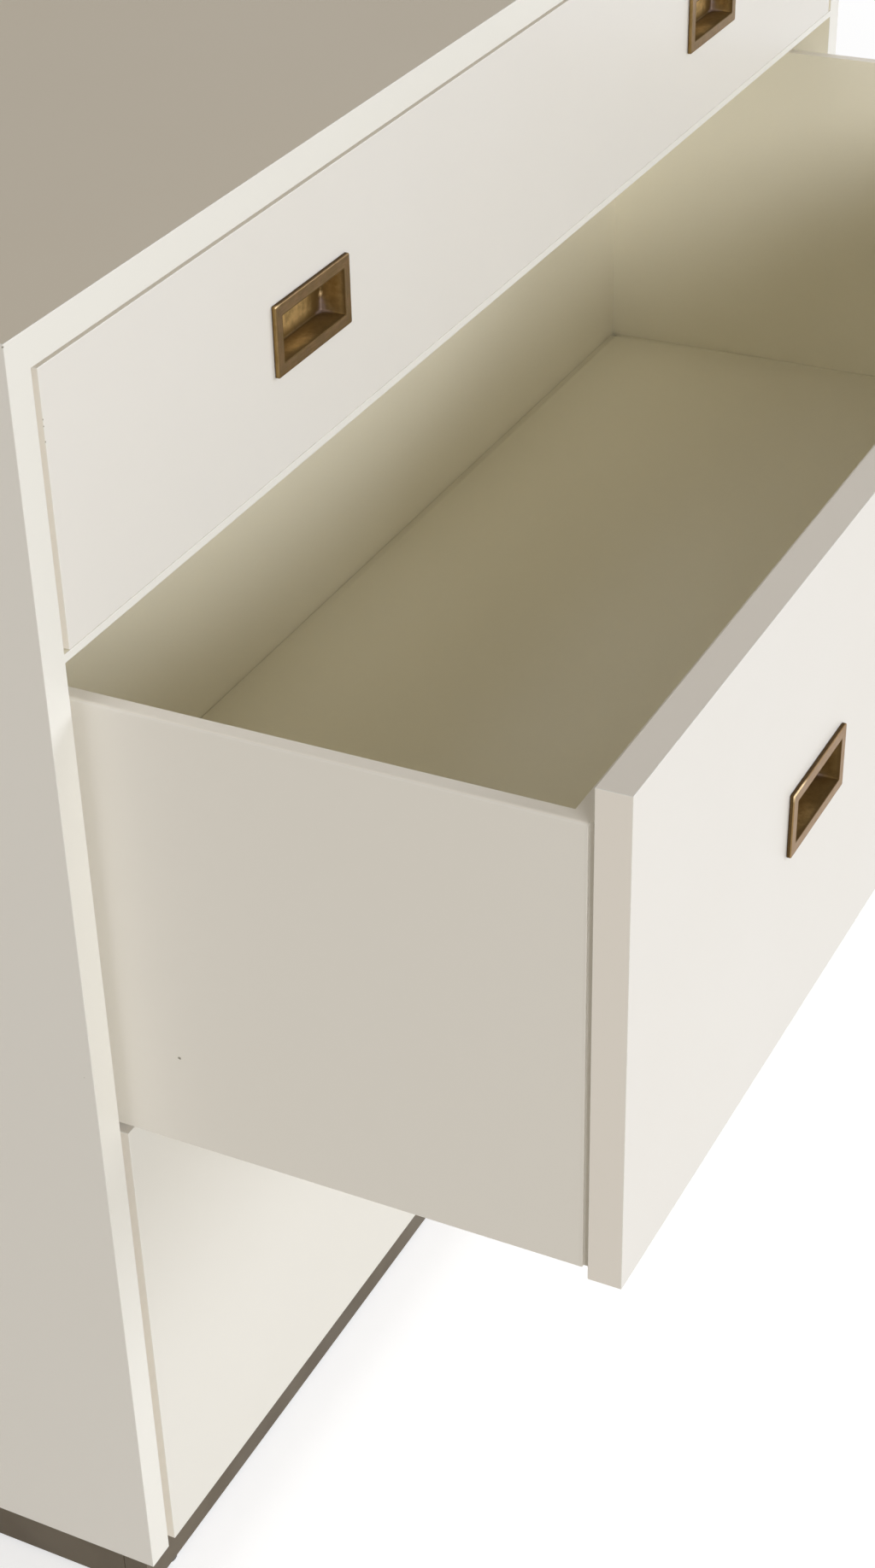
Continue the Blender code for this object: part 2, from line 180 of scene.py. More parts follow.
# %% The group for tone
tone_tree, given, result = group(
    "paint_tone", "ShaderNodeTree",
    [
        ("Vector", "Vector", None),
        ("Paint", "Color", (0.8, 0.78, 0.72, 1.0)),
        ("Warm Paint", "Color", (0.8, 0.77, 0.70, 1.0)),
        ("Clouds per Metre", "Float", 3.0),
        ("Cloud Strength", "Float", 0.5),
        ("Speck Colour", "Color", (0.52, 0.47, 0.39, 1.0)),
        ("Speck Share", "Float", 0.012),
    ],
    [("Color", "Color"), ("Specks", "Float")],
)
cells_per_metre = 55.0
clouds = scaled_noise(tone_tree, given["Vector"], given["Clouds per Metre"], 3.0)
clouds = remap(tone_tree, clouds, 0.35, 0.65)
clouds = arithmetic(tone_tree, "MULTIPLY", clouds, given["Cloud Strength"])
tinted = blend_colours(tone_tree, clouds, given["Paint"], given["Warm Paint"])
cells = add(tone_tree, "ShaderNodeTexVoronoi", {"Vector": given["Vector"], "Scale": cells_per_metre}).outputs
rare = add(tone_tree, "ShaderNodeSeparateColor", {"Color": cells["Color"]}).outputs["Red"]
rare = arithmetic(tone_tree, "LESS_THAN", rare, given["Speck Share"])
near = remap(tone_tree, cells["Distance"], 0.010, 0.022, 1.0, 0.0)
specks = arithmetic(tone_tree, "MULTIPLY", rare, near)
speckled = blend_colours(tone_tree, specks, tinted, given["Speck Colour"])
feed(tone_tree, result, {"Color": speckled, "Specks": specks})
print("group:", tone_tree.name)

# %% The group for the film
film_tree, given, result = group(
    "paint_film", "ShaderNodeTree",
    [
        ("Vector", "Vector", None),
        ("Ripples per Metre", "Float", 240.0),
        ("Ripple Height", "Float", 0.5),
        ("Specks", "Float", 0.0),
        ("Roughness Low", "Float", 0.3),
        ("Roughness High", "Float", 0.4),
    ],
    [("Height", "Float"), ("Roughness", "Float")],
)
swell_size = 0.045
swell_height = 0.6
haze_size = 0.11
ripple = scaled_noise(film_tree, given["Vector"], given["Ripples per Metre"], 1.0)
swell = scaled_noise(film_tree, given["Vector"], swell_size, 1.0)
relief = arithmetic(film_tree, "MULTIPLY", ripple, given["Ripple Height"])
relief = arithmetic(film_tree, "ADD", relief, arithmetic(film_tree, "MULTIPLY", swell, swell_height))
relief = arithmetic(film_tree, "ADD", relief, given["Specks"])
haze = scaled_noise(film_tree, given["Vector"], haze_size, 4.0, 0.6)
gloss = remap(film_tree, haze, 0.3, 0.7, given["Roughness Low"], given["Roughness High"])
feed(film_tree, result, {"Height": relief, "Roughness": gloss})
print("group:", film_tree.name)

# %% The group for single marks
mark_tree, given, result = group(
    "round_mark", "ShaderNodeTree",
    [("Vector", "Vector", None), ("Place", "Vector", (0.0, 0.0, 0.0)), ("Radius", "Float", 0.001)],
    [("Mask", "Float")],
)
ragged_size = 0.0012
reach = vector_math(mark_tree, "DISTANCE", given["Vector"], given["Place"])["Value"]
ragged = remap(mark_tree, scaled_noise(mark_tree, given["Vector"], ragged_size), 0.2, 0.8, 0.6, 1.4)
ragged = arithmetic(mark_tree, "MULTIPLY", ragged, given["Radius"])
share = arithmetic(mark_tree, "DIVIDE", reach, ragged)
feed(mark_tree, result, {"Mask": remap(mark_tree, share, 0.7, 1.1, 1.0, 0.0)})
print("group:", mark_tree.name)

# %% [markdown]
# ## Paint materials
#
# One function makes every painted finish from those groups. Real sprayed boards show a
# slightly different surface where a corner was eased: the film pulls thin on a convex edge,
# dries glossier and is the first to chip. So the lacquer comes in two materials, one for the
# flats and one for the eased edges, and the bevel later hands its faces to the second. The
# other paints are painted light and shade: brighter creams on the case's front faces, the
# faces' ends and top edges, the insides and the drawer rims, and darker, yellower creams on
# the case's top and on the lowest face.
#
# Single marks have places of their own, in metres on the dresser: a filled nail hole on the
# open drawer's side, a knocked corner of the case and a few chips beside the top drawer.

# %% Helpers for materials
def new_material(name, colour, roughness, metallic=0.0):
    """A material with its Principled shader and the object's own coordinates."""
    material = bpy.data.materials.new(name)
    material.use_nodes = True
    material.diffuse_color = (*colour, 1.0)
    tree = material.node_tree
    shader = tree.nodes["Principled BSDF"]
    feed(tree, shader.inputs, {"Base Color": (*colour, 1.0), "Roughness": roughness, "Metallic": metallic})
    place = add(tree, "ShaderNodeTexCoord").outputs["Object"]
    return material, tree, shader, place


def place_group(tree, name, inputs):
    """One of the shared groups, with this material's values."""
    return add(tree, "ShaderNodeGroup", inputs, node_tree=bpy.data.node_groups[name]).outputs


def relief_on(tree, shader, height, strength, distance):
    """Relief from a height, wired to the shader's normal."""
    bump = add(tree, "ShaderNodeBump", {"Height": height, "Strength": strength, "Distance": distance})
    feed(tree, shader.inputs, {"Normal": bump.outputs["Normal"]})


undercoat = (0.30, 0.28, 0.215, 1.0)
mark_depth = 2.5


def paint(name, colour, warm_colour, gloss_range, ripple, ripple_depth, coat, marks=()):
    """A sprayed finish; each mark is a place and a radius where the film is broken."""
    material, tree, shader, place = new_material(name, colour, gloss_range[0])
    feed(tree, shader.inputs, {
        "IOR": 1.46, "Specular IOR Level": 0.28, "Coat Weight": coat, "Coat Roughness": 0.22,
    })
    tone = place_group(tree, "paint_tone", {
        "Vector": place, "Paint": (*colour, 1.0), "Warm Paint": (*warm_colour, 1.0),
    })
    film = place_group(tree, "paint_film", {
        "Vector": place, "Ripples per Metre": 1.0 / ripple, "Specks": tone["Specks"],
        "Roughness Low": gloss_range[0], "Roughness High": gloss_range[1],
    })
    surface = tone["Color"]
    height = film["Height"]
    broken = None
    for spot, radius in marks:
        mask = place_group(tree, "round_mark", {"Vector": place, "Place": spot, "Radius": radius})["Mask"]
        broken = mask if broken is None else arithmetic(tree, "MAXIMUM", broken, mask)
    if broken is not None:
        surface = blend_colours(tree, broken, surface, undercoat)
        height = arithmetic(tree, "SUBTRACT", height, arithmetic(tree, "MULTIPLY", broken, mark_depth))
    feed(tree, shader.inputs, {"Base Color": surface, "Roughness": film["Roughness"]})
    relief_on(tree, shader, height, 0.35, ripple_depth)
    return material


# %% Paint materials
cream = (0.862, 0.839, 0.792)
cream_warm = (0.862, 0.833, 0.775)
# Painted shade: a darker, yellower cream for the shade on the case's top.
shaded_top_cream = (0.830, 0.764, 0.654)
shaded_top_cream_warm = (0.830, 0.756, 0.632)
# Painted light: a brighter cream for the case's front faces.
lit_front_cream = (0.905, 0.890, 0.830)
# Painted light: a brighter cream for the faces' top edges and ends.
lit_end_cream = (0.920, 0.872, 0.800)
# Painted shade: a darker, yellower cream for the lowest face, shaded by the open drawer.
shaded_low_cream = (0.846, 0.825, 0.762)
box_cream = (0.878, 0.848, 0.787)
box_cream_warm = (0.876, 0.840, 0.765)
# Painted light: a brighter cream for the drawer rims.
lit_rim_cream = (0.950, 0.905, 0.820)
# Painted light: a brighter, warmer cream for the insides, for the light bounced round in them.
lit_inside_cream = (0.922, 0.875, 0.722)
lit_inside_cream_warm = (0.920, 0.867, 0.698)
case_corner = (-0.5995, -0.10425, 0.9055)
gap_chips = ((-0.5750, -0.10455, 0.8583), (-0.5750, -0.10455, 0.8547), (-0.5750, -0.10455, 0.8465))
nail_hole = (-0.5710, -0.14475, 0.4745)

chips = [(case_corner, 0.0007)] + [(spot, 0.00045) for spot in gap_chips]
lacquer = paint("lacquer", cream, cream_warm, (0.30, 0.40), 0.0042, 0.00004, 0.10, chips)
lacquer_edge = paint("lacquer_edge", cream, cream_warm, (0.24, 0.34), 0.0042, 0.00004, 0.20, chips)
lacquer_top = paint("lacquer_top", shaded_top_cream, shaded_top_cream_warm, (0.56, 0.60), 0.0042, 0.00004, 0.0)
lacquer_top.node_tree.nodes["Principled BSDF"].inputs["Specular IOR Level"].default_value = 0.12
lacquer_stile = paint("lacquer_stile", lit_front_cream, lit_front_cream, (0.30, 0.40), 0.0042, 0.00004, 0.10)
lacquer_ends = paint("lacquer_ends", lit_end_cream, lit_end_cream, (0.36, 0.48), 0.0042, 0.00004, 0.0)
lacquer_low = paint("lacquer_low", shaded_low_cream, shaded_low_cream, (0.32, 0.42), 0.0042, 0.00004, 0.05)
box_lacquer = paint(
    "box_lacquer", box_cream, box_cream_warm, (0.36, 0.48), 0.0050, 0.00005, 0.05,
    marks=[(nail_hole, 0.0010)],
)
inside_lacquer = paint("inside_lacquer", lit_inside_cream, lit_inside_cream_warm, (0.36, 0.48), 0.0050, 0.00005, 0.05)
rim_lacquer = paint("rim_lacquer", lit_rim_cream, lit_rim_cream, (0.36, 0.48), 0.0050, 0.00005, 0.05)
print("paint materials:", [material.name for material in bpy.data.materials if "lacquer" in material.name])

# %% [markdown]
# ## Boards from a grid of cells
#
# Most of a dresser is boards: solid in some places, cut away in others. A board with pockets
# or rabbets could be cut with booleans, but those leave uneven faces that bevel badly.
#
# Here a piece is described as a grid instead: lists of planes along X, Y and Z, and a rule
# that says which cells are solid. The skin between solid and empty cells is a clean quad mesh,
# and a Bevel modifier rounds its corners. Each edge may have its own radius, because a maker
# eases the rim of a drawer box more than the corner of a face.

# %% Helpers for boards
def grid_board(planes_x, planes_y, planes_z, is_solid):
    """The skin round the solid cells of a grid; is_solid gets a cell's middle."""
    planes = (planes_x, planes_y, planes_z)
    shape = bmesh.new()
    corners = {}

    def corner(index):
        if index not in corners:
            corners[index] = shape.verts.new([planes[axis][index[axis]] for axis in range(3)])
        return corners[index]

    def solid(cell):
        if any(not 0 <= cell[axis] < len(planes[axis]) - 1 for axis in range(3)):
            return False
        middle = [(planes[axis][cell[axis]] + planes[axis][cell[axis] + 1]) / 2 for axis in range(3)]
        return is_solid(*middle)

    counts = [range(len(axis_planes) - 1) for axis_planes in planes]
    for cell in ((i, j, k) for i in counts[0] for j in counts[1] for k in counts[2]):
        if not solid(cell):
            continue
        for axis in range(3):
            for side in (0, 1):
                beyond = list(cell)
                beyond[axis] += 2 * side - 1
                if solid(tuple(beyond)):
                    continue
                first, second = [other for other in range(3) if other != axis]
                loop = []
                for step_first, step_second in ((0, 0), (1, 0), (1, 1), (0, 1)):
                    index = list(cell)
                    index[axis] += side
                    index[first] += step_first
                    index[second] += step_second
                    loop.append(corner(tuple(index)))
                shape.faces.new(loop)
    bmesh.ops.recalc_face_normals(shape, faces=shape.faces)
    return shape


def new_piece(name, shape, *materials):
    """A bmesh as a linked object with its materials."""
    mesh = bpy.data.meshes.new(name)
    shape.to_mesh(mesh)
    shape.free()
    for material in materials:
        mesh.materials.append(material)
    piece = bpy.data.objects.new(name, mesh)
    scene.collection.objects.link(piece)
    return piece


def set_radii(shape, radius_of, largest):
    """Store each sharp edge's radius as a bevel weight; radius_of gets (middle, direction, convex)."""
    weights = shape.edges.layers.float.new("bevel_weight_edge")
    for edge in shape.edges:
        if len(edge.link_faces) != 2 or edge.calc_face_angle() < 0.5:
            continue
        first, second = (vertex.co for vertex in edge.verts)
        run = (second - first).normalized()
        radius = radius_of((first + second) / 2, [abs(value) > 0.9 for value in run], edge.is_convex)
        edge[weights] = radius / largest


def round_edges(piece, largest, steps=3, edge_material=1):
    """Round the weighted edges and keep the flats flat; -1 takes the neighbours' material."""
    piece.data.shade_smooth()
    bevel = piece.modifiers.new("eased_edges", "BEVEL")
    bevel.limit_method = "WEIGHT"
    bevel.offset_type = "OFFSET"
    bevel.width = largest
    bevel.segments = steps
    bevel.material = edge_material
    bevel.harden_normals = True
    bevel.use_clamp_overlap = True
    bevel.loop_slide = True


def report(piece):
    """Print a piece's size and faces as it is rendered."""
    evaluated = piece.evaluated_get(bpy.context.evaluated_depsgraph_get())
    faces = len(evaluated.to_mesh().polygons)
    evaluated.to_mesh_clear()
    size = [round(1000 * value, 1) for value in evaluated.dimensions]
    print(f"{piece.name}: {size} mm, {faces} faces")


# %% [markdown]
# ## The case
#
# The sides and the top are 20 mm boards joined with mitres, then filled, sanded and sprayed as
# one, so the photograph shows no joint at the corner. The thin panel under the top drawer ends
# flush with the sides and runs into them under the same paint.
#
# Separate boards would show hairlines that the real case doesn't have. So the case is one
# grid: two sides, a top and the thin panel, less the rabbet that takes the back. Its sizes
# are read from the CAD nodes it stands for. Its edges are nearly sharp, eased by less than half
# a millimetre. Three sets of its faces take paints of their own, as painted light and shade:
# the inside a brighter, warmer cream, the front faces a brighter one, and the top a darker,
# yellower one.

# %% The case shell
side_low, side_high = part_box("side_panel_right")
top_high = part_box("top_panel")[1]
dust_low, dust_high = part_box("dust_panel")
back_low, back_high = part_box("back_panel")
case_half = side_high.x
inside_half = side_low.x
back_play = 0.0003
rabbet_half = back_high.x + back_play
rabbet_front = back_low.y - back_play
rabbet_top = back_high.z + back_play
case_front = side_low.y
case_rear = side_high.y
ceiling = top_high.z - (case_half - inside_half)
edge_radius = 0.0004
look_ahead = 0.001


def in_case(x, y, z):
    in_side = abs(x) > inside_half
    in_top = z > ceiling
    in_dust_panel = dust_low.z < z < dust_high.z and y < rabbet_front
    in_rabbet = y > rabbet_front and abs(x) < rabbet_half and z < rabbet_top
    return (in_side or in_top or in_dust_panel) and not in_rabbet


def evenly_eased(middle, along, convex):
    """The radius rule of a board whose edges are all alike."""
    return edge_radius


case_shape = grid_board(
    [-case_half, -rabbet_half, -inside_half, inside_half, rabbet_half, case_half],
    [case_front, rabbet_front, case_rear],
    [side_low.z, dust_low.z, dust_high.z, ceiling, rabbet_top, top_high.z],
    in_case,
)
set_radii(case_shape, evenly_eased, edge_radius)
# Painted light and shade: the inside faces take a brighter, warmer cream, the front faces a brighter one and
# the top a darker, yellower one.
for face in case_shape.faces:
    ahead = face.calc_center_median() + look_ahead * face.normal
    if abs(ahead.x) < inside_half and ahead.z < ceiling and case_front < ahead.y < rabbet_front:
        face.material_index = 2
    elif ahead.z > top_high.z:
        face.material_index = 3
    elif ahead.y < case_front:
        face.material_index = 4
case_paints = (lacquer, lacquer_edge, inside_lacquer, lacquer_top, lacquer_stile)
case_shell = new_piece("case_shell", case_shape, *case_paints)
round_edges(case_shell, edge_radius)
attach(case_shell, "case")
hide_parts("side_panel_left", "side_panel_right", "top_panel", "dust_panel")
report(case_shell)

# %% [markdown]
# ## The drawer faces
#
# Each face is a 20 mm board set into the case with an even gap. Two pockets are milled into
# it for the pulls, and the rim of each pull hides the pocket's edge.
#
# The upper edges and the ends take a brighter cream than the fronts, as painted light, and
# the lowest front, near the floor, a darker, yellower one, as painted shade under the open
# drawer. The top drawer hangs a third of a millimetre low, so that only a hairline is left
# under its face.
#
# The same grid makes all three. The pockets have to be there although nobody sees their
# edges: without them the sunk cups of the pulls would sit inside solid wood.

# %% The drawer faces
pocket_depth = 0.0164
pocket_half_x = 0.0385
pocket_half_z = 0.0158
sagged = 0.00035
nearly = 0.0001
for drawer in drawers:
    low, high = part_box(drawer + "_face")
    foot = low.z - sagged if drawer == "top_drawer" else low.z
    pull_low, pull_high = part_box(drawer + "_pull_right")
    pull_x = (pull_low.x + pull_high.x) / 2
    pull_z = (pull_low.z + pull_high.z) / 2
    pocket_back = low.y + pocket_depth

    def in_face(x, y, z):
        in_pocket = (
            y < pocket_back
            and abs(abs(x) - pull_x) < pocket_half_x
            and abs(z - pull_z) < pocket_half_z
        )
        return not in_pocket

    planes_x = sorted(
        [low.x, high.x] + [side * pull_x + edge * pocket_half_x for side in (-1, 1) for edge in (-1, 1)]
    )
    shape = grid_board(
        planes_x,
        [low.y, pocket_back, high.y],
        [foot, pull_z - pocket_half_z, pull_z + pocket_half_z, high.z],
        in_face,
    )
    set_radii(shape, evenly_eased, edge_radius)
    # Painted light: the top edges and the ends take a brighter cream.
    for face in shape.faces:
        middle = face.calc_center_median()
        if middle.z > high.z - nearly or abs(middle.x) > high.x - nearly:
            face.material_index = 2
    # Painted shade: the lowest face takes a darker, yellower cream for the open drawer's shade.
    front_paint = lacquer_low if drawer == "bottom_drawer" else lacquer
    board = new_piece(drawer + "_front_board", shape, front_paint, lacquer_edge, lacquer_ends)
    round_edges(board, edge_radius)
    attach(board, drawer)
    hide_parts(drawer + "_face")
    report(board)

# %% [markdown]
# ## The drawer boxes
#
# Behind each face is a box of thin boards, glued up and then sprayed inside and out. The paint
# closes the upright joints and rounds the rim. The bottom sits in a groove and isn't glued, so
# a fine dark line runs round it. The ends of the box's front step in where it meets the face.
#
# One grid again makes the whole box, with the bottom raised above the lower edge of the sides
# and a slot 0.6 mm wide round the bottom for that dark line. The bottom's rear corners are
# notched, as they are on a board that slides in from behind. The radii differ: the rim is well
# rounded outside, since hands and clothes pass over it, and the rest is only eased. As painted
# light, the inside takes a warmer, brighter cream than the outside and the rim a brighter one,
# so both take materials of their own.

# %% The drawer boxes
box_parts = ("front", "side_left", "side_right", "back", "bottom")
joint_play = 0.0003
touching = 0.0005
rim_radius = 0.0024
outer_radius = 0.0006
inner_radius = 0.0004
slot_width = 0.0006
slot_depth = 0.0010
corner_notch = 0.0050
look_ahead = 0.0001
for drawer in drawers:
    front_low, front_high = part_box(drawer + "_box_front")
    side_low, side_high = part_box(drawer + "_box_side_right")
    rear_low, rear_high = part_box(drawer + "_box_back")
    floor_low, floor_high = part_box(drawer + "_box_bottom")
    step_y = side_low.y - joint_play

    def in_box(x, y, z):
        if y < front_high.y:
            return abs(x) < front_high.x or y > step_y
        in_side = abs(x) > side_low.x
        in_back = y > rear_low.y and z > floor_low.z
        in_floor = floor_low.z < z < floor_high.z
        by_wall = abs(x) > floor_half or not floor_front < y < floor_rear
        in_slot = by_wall and z > floor_high.z - slot_depth
        in_notch = abs(x) > notch_half and y > notch_front
        return in_side or in_back or in_floor and not in_slot and not in_notch

    def box_radius(middle, along, convex):
        on_rim = middle.z > side_high.z - touching
        outside = abs(middle.x) > side_high.x - touching or middle.y > rear_high.y - touching
        if not convex:
            return inner_radius if along[2] else 0.0
        if on_rim and outside:
            return rim_radius
        if middle.z > floor_low.z and not on_rim and not outside and not along[2]:
            return 0.0
        return outer_radius

    floor_half = side_low.x - slot_width
    floor_front = front_high.y + slot_width
    floor_rear = rear_low.y - slot_width
    notch_half = floor_half - corner_notch
    notch_front = floor_rear - corner_notch
    half_widths = [notch_half, floor_half, side_low.x, front_high.x, side_high.x]
    shape = grid_board(
        [-half for half in reversed(half_widths)] + half_widths,
        [front_low.y, step_y, front_high.y, floor_front, notch_front, floor_rear, rear_low.y, rear_high.y],
        [side_low.z, floor_low.z, floor_high.z - slot_depth, floor_high.z, side_high.z],
        in_box,
    )
    set_radii(shape, box_radius, rim_radius)
    # Painted light: the inside takes a brighter, warmer cream than the outside, and the rim a brighter one.
    for face in shape.faces:
        ahead = face.calc_center_median() + look_ahead * face.normal
        within = abs(ahead.x) < side_low.x and front_high.y < ahead.y < rear_low.y
        if ahead.z > side_high.z:
            face.material_index = 2
        elif within and ahead.z > floor_low.z:
            face.material_index = 1
    box = new_piece(drawer + "_box", shape, box_lacquer, inside_lacquer, rim_lacquer)
    round_edges(box, rim_radius, 4, edge_material=-1)
    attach(box, drawer)
    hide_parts(*(drawer + "_box_" + part for part in box_parts))
    report(box)

# %% [markdown]
# ## Aged brass
#
# The pulls are cast brass with a brown patina. Age doesn't colour such a casting evenly. Hands
# and polishing cloths take the patina off the edges, grime settles on whatever faces up, the
# flat floor of the cup keeps a golden tone, and a grey-pink bloom sits in its corners. Light
# and shade are painted in as well: the golden floor and the golden left-facing walls are
# partly painted light, bright rubbed metal also stands for glints, and the dark in the creases,
# at the foot and on the top wall is partly painted shade.
#
# Masks drive this. The mesh carries most of them as attributes, because only the mesh knows
# where its edges, its floor and its corners are. It also carries the distance round the rim
# and out from the middle, and noise drawn out along the first gives the rim the fine streaks
# of polishing. The surface normal brings grime, and a mask brings grime and painted shade;
# since neither is bare metal, they take the metallic look down. Noise breaks everything up a
# little.

# %% The aged brass group
patina_tree, given, result = group(
    "brass_patina", "ShaderNodeTree",
    [
        ("Vector", "Vector", None),
        ("Normal", "Vector", None),
        ("Along", "Float", 0.0),
        ("Outward", "Float", 0.0),
        ("Edge", "Float", 0.0),
        ("Sunk", "Float", 0.0),
        ("Gold", "Float", 0.0),
        ("Bloom Mask", "Float", 0.0),
        ("Dirt", "Float", 0.0),
        ("Rosy", "Float", 0.0),
        ("Patina", "Color", (0.258, 0.174, 0.106, 1.0)),
        ("Rosy Patina", "Color", (0.400, 0.252, 0.138, 1.0)),
        ("Olive Patina", "Color", (0.285, 0.200, 0.098, 1.0)),
        ("Cup Wall", "Color", (0.185, 0.112, 0.032, 1.0)),
        ("Cup Floor", "Color", (0.700, 0.480, 0.200, 1.0)),
        ("Grime", "Color", (0.060, 0.034, 0.014, 1.0)),
        ("Bloom", "Color", (0.330, 0.250, 0.225, 1.0)),
        ("Bright Metal", "Color", (0.860, 0.640, 0.360, 1.0)),
    ],
    [("Color", "Color"), ("Roughness", "Float"), ("Metallic", "Float"), ("Height", "Float")],
)
tree, spot = patina_tree, given["Vector"]
blotches = remap(tree, scaled_noise(tree, spot, 0.010, 4.0, 0.60), 0.32, 0.68)
mottle = remap(tree, scaled_noise(tree, spot, 0.0045, 3.0, 0.60), 0.40, 0.62)
fine = scaled_noise(tree, spot, 0.0018, 3.0, 0.6)

# The rim: olive and pink patches, and streaks that are ten times as long as they are wide.
streak_squeeze = 0.10
squeezed = arithmetic(tree, "MULTIPLY", given["Along"], streak_squeeze)
rim_place = add(tree, "ShaderNodeCombineXYZ", {"X": squeezed, "Y": given["Outward"]}).outputs["Vector"]
streaks = remap(tree, scaled_noise(tree, rim_place, 0.0009, 3.0, 0.6), 0.32, 0.68)
olive = remap(tree, mottle, 0.0, 1.0, 0.65, 0.0)
rim_tone = blend_colours(tree, olive, given["Patina"], given["Olive Patina"])
rim_tone = blend_colours(tree, given["Rosy"], rim_tone, given["Rosy Patina"])
pink = remap(tree, scaled_noise(tree, spot, 0.009), 0.48, 0.66, 0.0, 0.45)
rim_tone = blend_colours(tree, pink, rim_tone, given["Rosy Patina"])
streaked = remap(tree, streaks, 0.0, 1.0, 0.42, 0.0)
rim_tone = blend_colours(tree, streaked, rim_tone, given["Cup Wall"])

# The cup: brown, and golden where the mask and the patches let it be; the golden mask is partly painted
# light.
uneven = remap(tree, blotches, 0.0, 1.0, 0.30, 0.85)
uneven = arithmetic(tree, "ADD", arithmetic(tree, "MULTIPLY", mottle, 0.35), uneven)
golden_and_lit = arithmetic(tree, "MULTIPLY", given["Gold"], uneven)
cup_tone = blend_colours(tree, golden_and_lit, given["Cup Wall"], given["Cup Floor"])
body = blend_colours(tree, given["Sunk"], rim_tone, cup_tone)

# Over both lie grime and painted shade, then bloom, and rubbed edges and painted glints show bright metal.
facing_up = add(tree, "ShaderNodeSeparateXYZ", {"Vector": given["Normal"]}).outputs["Z"]
settled = remap(tree, facing_up, 0.45, 0.95, 0.0, 0.35)
grime_and_shade = arithmetic(tree, "MAXIMUM", settled, given["Dirt"])
grime_and_shade = arithmetic(tree, "MULTIPLY", grime_and_shade, remap(tree, fine, 0.25, 0.65, 1.0, 0.80))
body = blend_colours(tree, grime_and_shade, body, given["Grime"])
bloomed = arithmetic(tree, "MULTIPLY", given["Bloom Mask"], remap(tree, fine, 0.30, 0.62, 1.0, 0.60))
body = blend_colours(tree, bloomed, body, given["Bloom"])
rubbed_and_glinting = arithmetic(tree, "MULTIPLY", given["Edge"], remap(tree, fine, 0.30, 0.60, 0.60, 1.0))

# Bloom, grime and painted shade are dull, and rubbed edges and painted glints shine.
dull = remap(tree, blotches, 0.0, 1.0, 0.46, 0.36)
covered = arithmetic(tree, "MAXIMUM", bloomed, grime_and_shade)
dull = arithmetic(tree, "ADD", dull, arithmetic(tree, "MULTIPLY", covered, 0.35))
dull = arithmetic(tree, "SUBTRACT", dull, arithmetic(tree, "MULTIPLY", rubbed_and_glinting, 0.12))
scratches = arithmetic(tree, "MULTIPLY", streaks, 0.3)
pits = arithmetic(tree, "ADD", arithmetic(tree, "MULTIPLY", fine, 0.5), scratches)
feed(tree, result, {
    "Color": blend_colours(tree, rubbed_and_glinting, body, given["Bright Metal"]),
    "Roughness": dull,
    "Metallic": remap(tree, grime_and_shade, 0.0, 1.0, 0.80, 0.0),
    "Height": arithmetic(tree, "ADD", pits, blotches),
})
print("group:", patina_tree.name)

# %% The aged brass material
aged_brass, tree, shader, place = new_material("aged_brass", (0.24, 0.15, 0.07), 0.40, 0.80)
mask_of = {
    "Edge": "edge_wear", "Sunk": "in_the_cup", "Gold": "golden_floor", "Bloom Mask": "corner_bloom",
    "Dirt": "dirt", "Rosy": "rosy_tone", "Along": "along_the_rim", "Outward": "out_from_middle",
}
masks = {
    socket: add(tree, "ShaderNodeAttribute", attribute_name=name).outputs["Fac"]
    for socket, name in mask_of.items()
}
normal = add(tree, "ShaderNodeNewGeometry").outputs["Normal"]
patina = place_group(tree, "brass_patina", {"Vector": place, "Normal": normal, **masks})
feed(tree, shader.inputs, {
    "Base Color": patina["Color"], "Roughness": patina["Roughness"], "Metallic": patina["Metallic"],
    "Specular IOR Level": 0.08,
})
relief_on(tree, shader, patina["Height"], 0.25, 0.0002)
print("material:", aged_brass.name)

# %% [markdown]
# ## The recessed pulls
#
# A pull is a casting: a proud rim round a cup that the fingertips go into. Its walls lean by a
# degree or two so that it leaves the mould, its inner corners are rounded, and its outer
# edges are nearly sharp.
#
# The shape is a loft. A list of rounded rectangles, each with its half sizes, its corner radius
# and its depth, is joined ring by ring from the middle of the cup to the hidden back. Straight
# stretches are divided too, so that wear can change along an edge and a little noise can make
# the casting slightly uneven. The noise gets a fixed seed, so that each run makes the same pulls.

# %% The rings of a pull
rim_width = 0.0073
rim_proud = 0.0030
wall = 0.0015
cup_depth = 0.0134
draft = 0.0002
fillet = 0.0009
lip = 0.00025
crown = 0.00060
lip_band = 0.0010
crown_foot = 0.0003
side_foot = 0.0013
shadow_gap = 0.0004
floor_corner = 0.0008
cup_corner = 0.0018
opening_corner = 0.0009
outer_corner = 0.0010
hidden_corner = 0.0020
back_corner = 0.0025
corner_steps = 5
long_steps = 27
short_steps = 11


def rounded_rectangle(half_x, half_z, radius):
    """Points round a rounded rectangle, with the straight runs divided evenly."""
    points = []
    signs = ((1, 1), (-1, 1), (-1, -1), (1, -1))
    for quarter, (sign_x, sign_z) in enumerate(signs):
        centre = Vector((sign_x * (half_x - radius), sign_z * (half_z - radius)))
        next_x, next_z = signs[(quarter + 1) % 4]
        shift = Vector((next_x * (half_x - radius), next_z * (half_z - radius))) - centre
        for step in range(corner_steps + 1):
            angle = math.radians(90 * (quarter + step / corner_steps))
            points.append(centre + radius * Vector((math.cos(angle), math.sin(angle))))
        start = points[-1].copy()
        count = short_steps if quarter % 2 else long_steps
        points.extend(start + shift * step / count for step in range(1, count))
    return points


